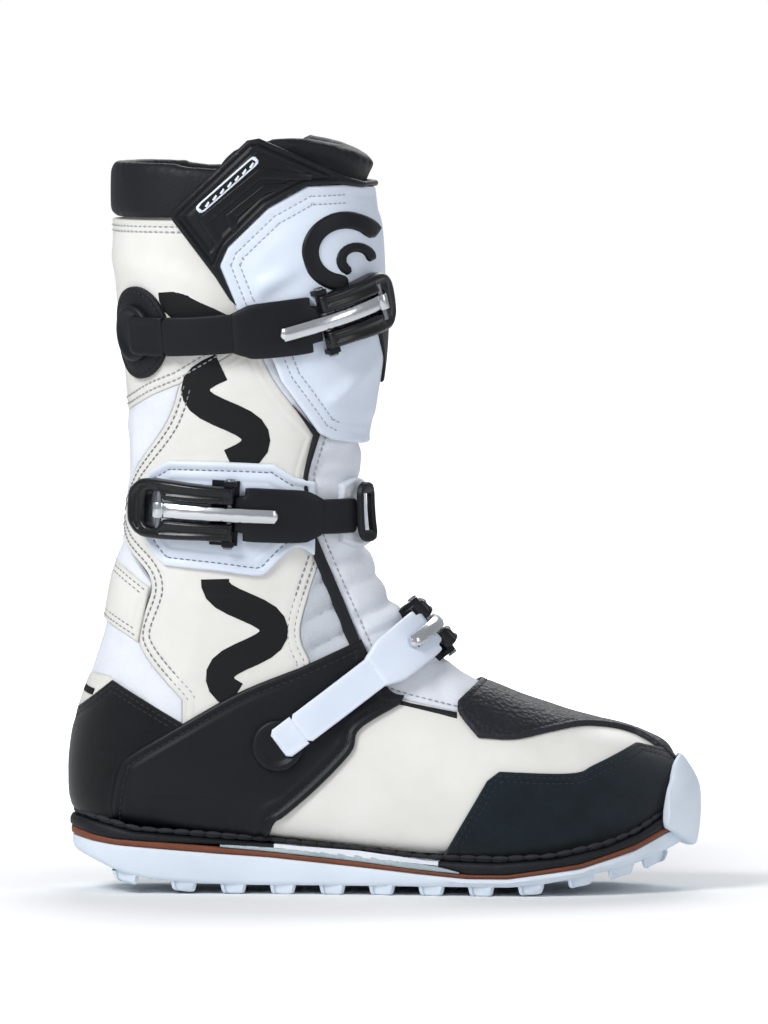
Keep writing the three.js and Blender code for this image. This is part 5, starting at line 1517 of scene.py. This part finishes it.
def bumper():
    """The thick lip of rubber turned up over the toe."""
    plan = [(137, -33), (143, -27), (148, -19), (151.6, -9.5), (153.4, 3), (152.9, 17), (150, 29), (145, 38),
            (138, 43.5)]
    line, _ = curve(plan, [0, len(plan) - 1], step=2)
    ahead = np.gradient(line, axis=0)
    out = np.stack([ahead[:, 1], -ahead[:, 0]], 1)
    out /= np.linalg.norm(out, axis=1, keepdims=True)
    points, faces = [], []
    share = np.linspace(-1, 1, len(line))
    size = 13
    for (x, y), (ox, oy), s in zip(line, out, share):
        fade = max(0.0, 1 - abs(s) ** 3.2)
        top = 47 + 18.2 * fade
        low = 21 + 11 * abs(s) ** 1.5
        thick = 4.5 + 8.5 * fade
        lean = 9.5 * fade
        profile = [(-1.6, 0.03), (0, 0.3), (0, 0.5), (-0.25 * lean / 9.5, 0.66), (-0.35 * lean, 0.8),
                   (-0.75 * lean, 0.93),
                   (-lean, 1.0), (-lean - 2.2, 1.0), (-thick * 0.6 - lean * 0.5, 0.8), (-thick, 0.5),
                   (-thick, 0.1), (-thick * 0.8, 0.0), (-3.2, -0.02)]
        for d, h in profile:
            points.append((x + ox * d, y + oy * d, low + (top - low) * h))
    for r in range(len(line) - 1):
        for k in range(size):
            j = (k + 1) % size
            faces.append((r * size + k, r * size + j, (r + 1) * size + j, (r + 1) * size + k))
    faces.append(tuple(range(size)))
    faces.append(tuple((len(line) - 1) * size + k for k in reversed(range(size))))
    return outward(mesh_object("toe_bumper_lip", points, faces, WHITE_RUBBER))


lip = belongs(bumper(), "boot", ["toe_bumper"])
rounder = lip.modifiers.new("smooth", "SUBSURF")
rounder.levels = rounder.render_levels = 1

# ================================================================ welt thread
# One thick waxed black thread that joins the upper to the welt. Its two strands lock into a chain
# all along the edge of the upper.
thread_ring = edge_ring(1.4)
for side in (0, 1):
    wave = 1.2 * np.sin(SOLE_LENGTH / 4.1 * math.pi + side * math.pi)
    line = np.column_stack([thread_ring + SOLE_OUT * (wave * 0.3)[:, None],
                            height_at(FEATHER, thread_ring[:, 0]) + 0.4 + wave * 0.55])
    line = line[(line[:, 0] < 140)]
    start = np.argmax(np.linalg.norm(np.diff(line, axis=0), axis=1)) + 1
    line = np.roll(line, -start, 0) if np.linalg.norm(np.diff(line, axis=0), axis=1).max() > 8 else line
    threads(f"welt_thread_{side}", [line], "boot", THREAD_BLACK, pitch=8.2, length=8.6, thickness=2.6)

# ================================================================ floor, lights and camera
# A pale floor that turns white away from the boot, a big soft key light at the front, a fill, a
# light behind, and a pale sky that the camera sees as white.
FLOOR_HALF, FADE_START, FADE_END = 8, 0.15, 0.8  # metres: the floor turns white away from the boot
FLOOR = bpy.data.materials.new("pale floor")
FLOOR.use_nodes = True
floor_nodes = FLOOR.node_tree.nodes
floor_links = FLOOR.node_tree.links
floor_shader = floor_nodes["Principled BSDF"]
floor_shader.inputs["Base Color"].default_value = (0.92, 0.93, 0.94, 1)
floor_shader.inputs["Roughness"].default_value = 0.8
floor_shader.inputs["Emission Color"].default_value = (1, 1, 1, 1)
spread = floor_nodes.new("ShaderNodeTexCoord")
far = floor_nodes.new("ShaderNodeVectorMath")
far.operation = "LENGTH"
fade = floor_nodes.new("ShaderNodeMapRange")
fade.inputs["From Min"].default_value, fade.inputs["From Max"].default_value = FADE_START, FADE_END
fade.inputs["To Min"].default_value, fade.inputs["To Max"].default_value = 0.0, 1.0
floor_links.new(spread.outputs["Object"], far.inputs[0])
floor_links.new(far.outputs["Value"], fade.inputs["Value"])
direct = floor_nodes.new("ShaderNodeLightPath")
unlit = floor_nodes.new("ShaderNodeMath")
unlit.operation = "MULTIPLY"
floor_links.new(fade.outputs["Result"], unlit.inputs[0])
floor_links.new(direct.outputs["Is Camera Ray"], unlit.inputs[1])
floor_links.new(unlit.outputs["Value"], floor_shader.inputs["Emission Strength"])
floor_mesh = bpy.data.meshes.new("floor")
floor_mesh.from_pydata([(FLOOR_HALF * x, FLOOR_HALF * y, 0) for x, y in ((-1, -1), (1, -1), (1, 1), (-1, 1))],
                       [], [(0, 1, 2, 3)])
floor_mesh.materials.append(FLOOR)
floor = bpy.data.objects.new("floor", floor_mesh)
bpy.context.scene.collection.objects.link(floor)

world = bpy.data.worlds.new("pale sky")
world.use_nodes = True
sky = world.node_tree
backdrop = sky.nodes["Background"]
backdrop.inputs["Color"].default_value = (1, 1, 1, 1)
backdrop.inputs["Strength"].default_value = 1.0
glow = sky.nodes.new("ShaderNodeBackground")
glow.inputs["Color"].default_value = (0.93, 0.96, 1.0, 1)
glow.inputs["Strength"].default_value = 0.4
seen = sky.nodes.new("ShaderNodeLightPath")
choose = sky.nodes.new("ShaderNodeMixShader")
sky.links.new(seen.outputs["Is Camera Ray"], choose.inputs["Fac"])
sky.links.new(glow.outputs["Background"], choose.inputs[1])
sky.links.new(backdrop.outputs["Background"], choose.inputs[2])
sky.links.new(choose.outputs["Shader"], sky.nodes["World Output"].inputs["Surface"])
bpy.context.scene.world = world
bpy.context.scene.view_settings.view_transform = "Standard"


def softbox(name, place, target, size, power):
    light = bpy.data.lights.new(name, "AREA")
    light.shape = "RECTANGLE"
    light.size, light.size_y = size
    light.energy = power
    made = bpy.data.objects.new(name, light)
    made.location = place
    made.rotation_euler = (Vector(target) - Vector(place)).to_track_quat("-Z", "Y").to_euler()
    bpy.context.scene.collection.objects.link(made)


softbox("key", (-1.0, -1.2, 1.3), (0, 0, 0.15), (0.7, 0.7), 25)
softbox("fill", (1.4, -1.0, 0.9), (0, 0, 0.15), (0.6, 1.0), 5)
softbox("rim", (0.3, 1.5, 1.3), (0, 0, 0.2), (1.2, 0.8), 14)

camera_data = bpy.data.cameras.new("camera")
camera = bpy.data.objects.new("camera", camera_data)
bpy.context.scene.collection.objects.link(camera)
bpy.context.scene.camera = camera
DISTANCE, VIEW_HEIGHT, ELEVATION, SENSOR = 6.0, 0.4915, math.radians(3), 24
aim = Vector((SHIFT[0] * MM, -0.03, 0.1838))
camera.location = aim + DISTANCE * Vector((0, -math.cos(ELEVATION), math.sin(ELEVATION)))
camera.rotation_euler = (aim - camera.location).to_track_quat("-Z", "Y").to_euler()
camera_data.sensor_fit = "VERTICAL"
camera_data.sensor_height = SENSOR
camera_data.lens = SENSOR * DISTANCE / VIEW_HEIGHT
camera_data.clip_end = 50
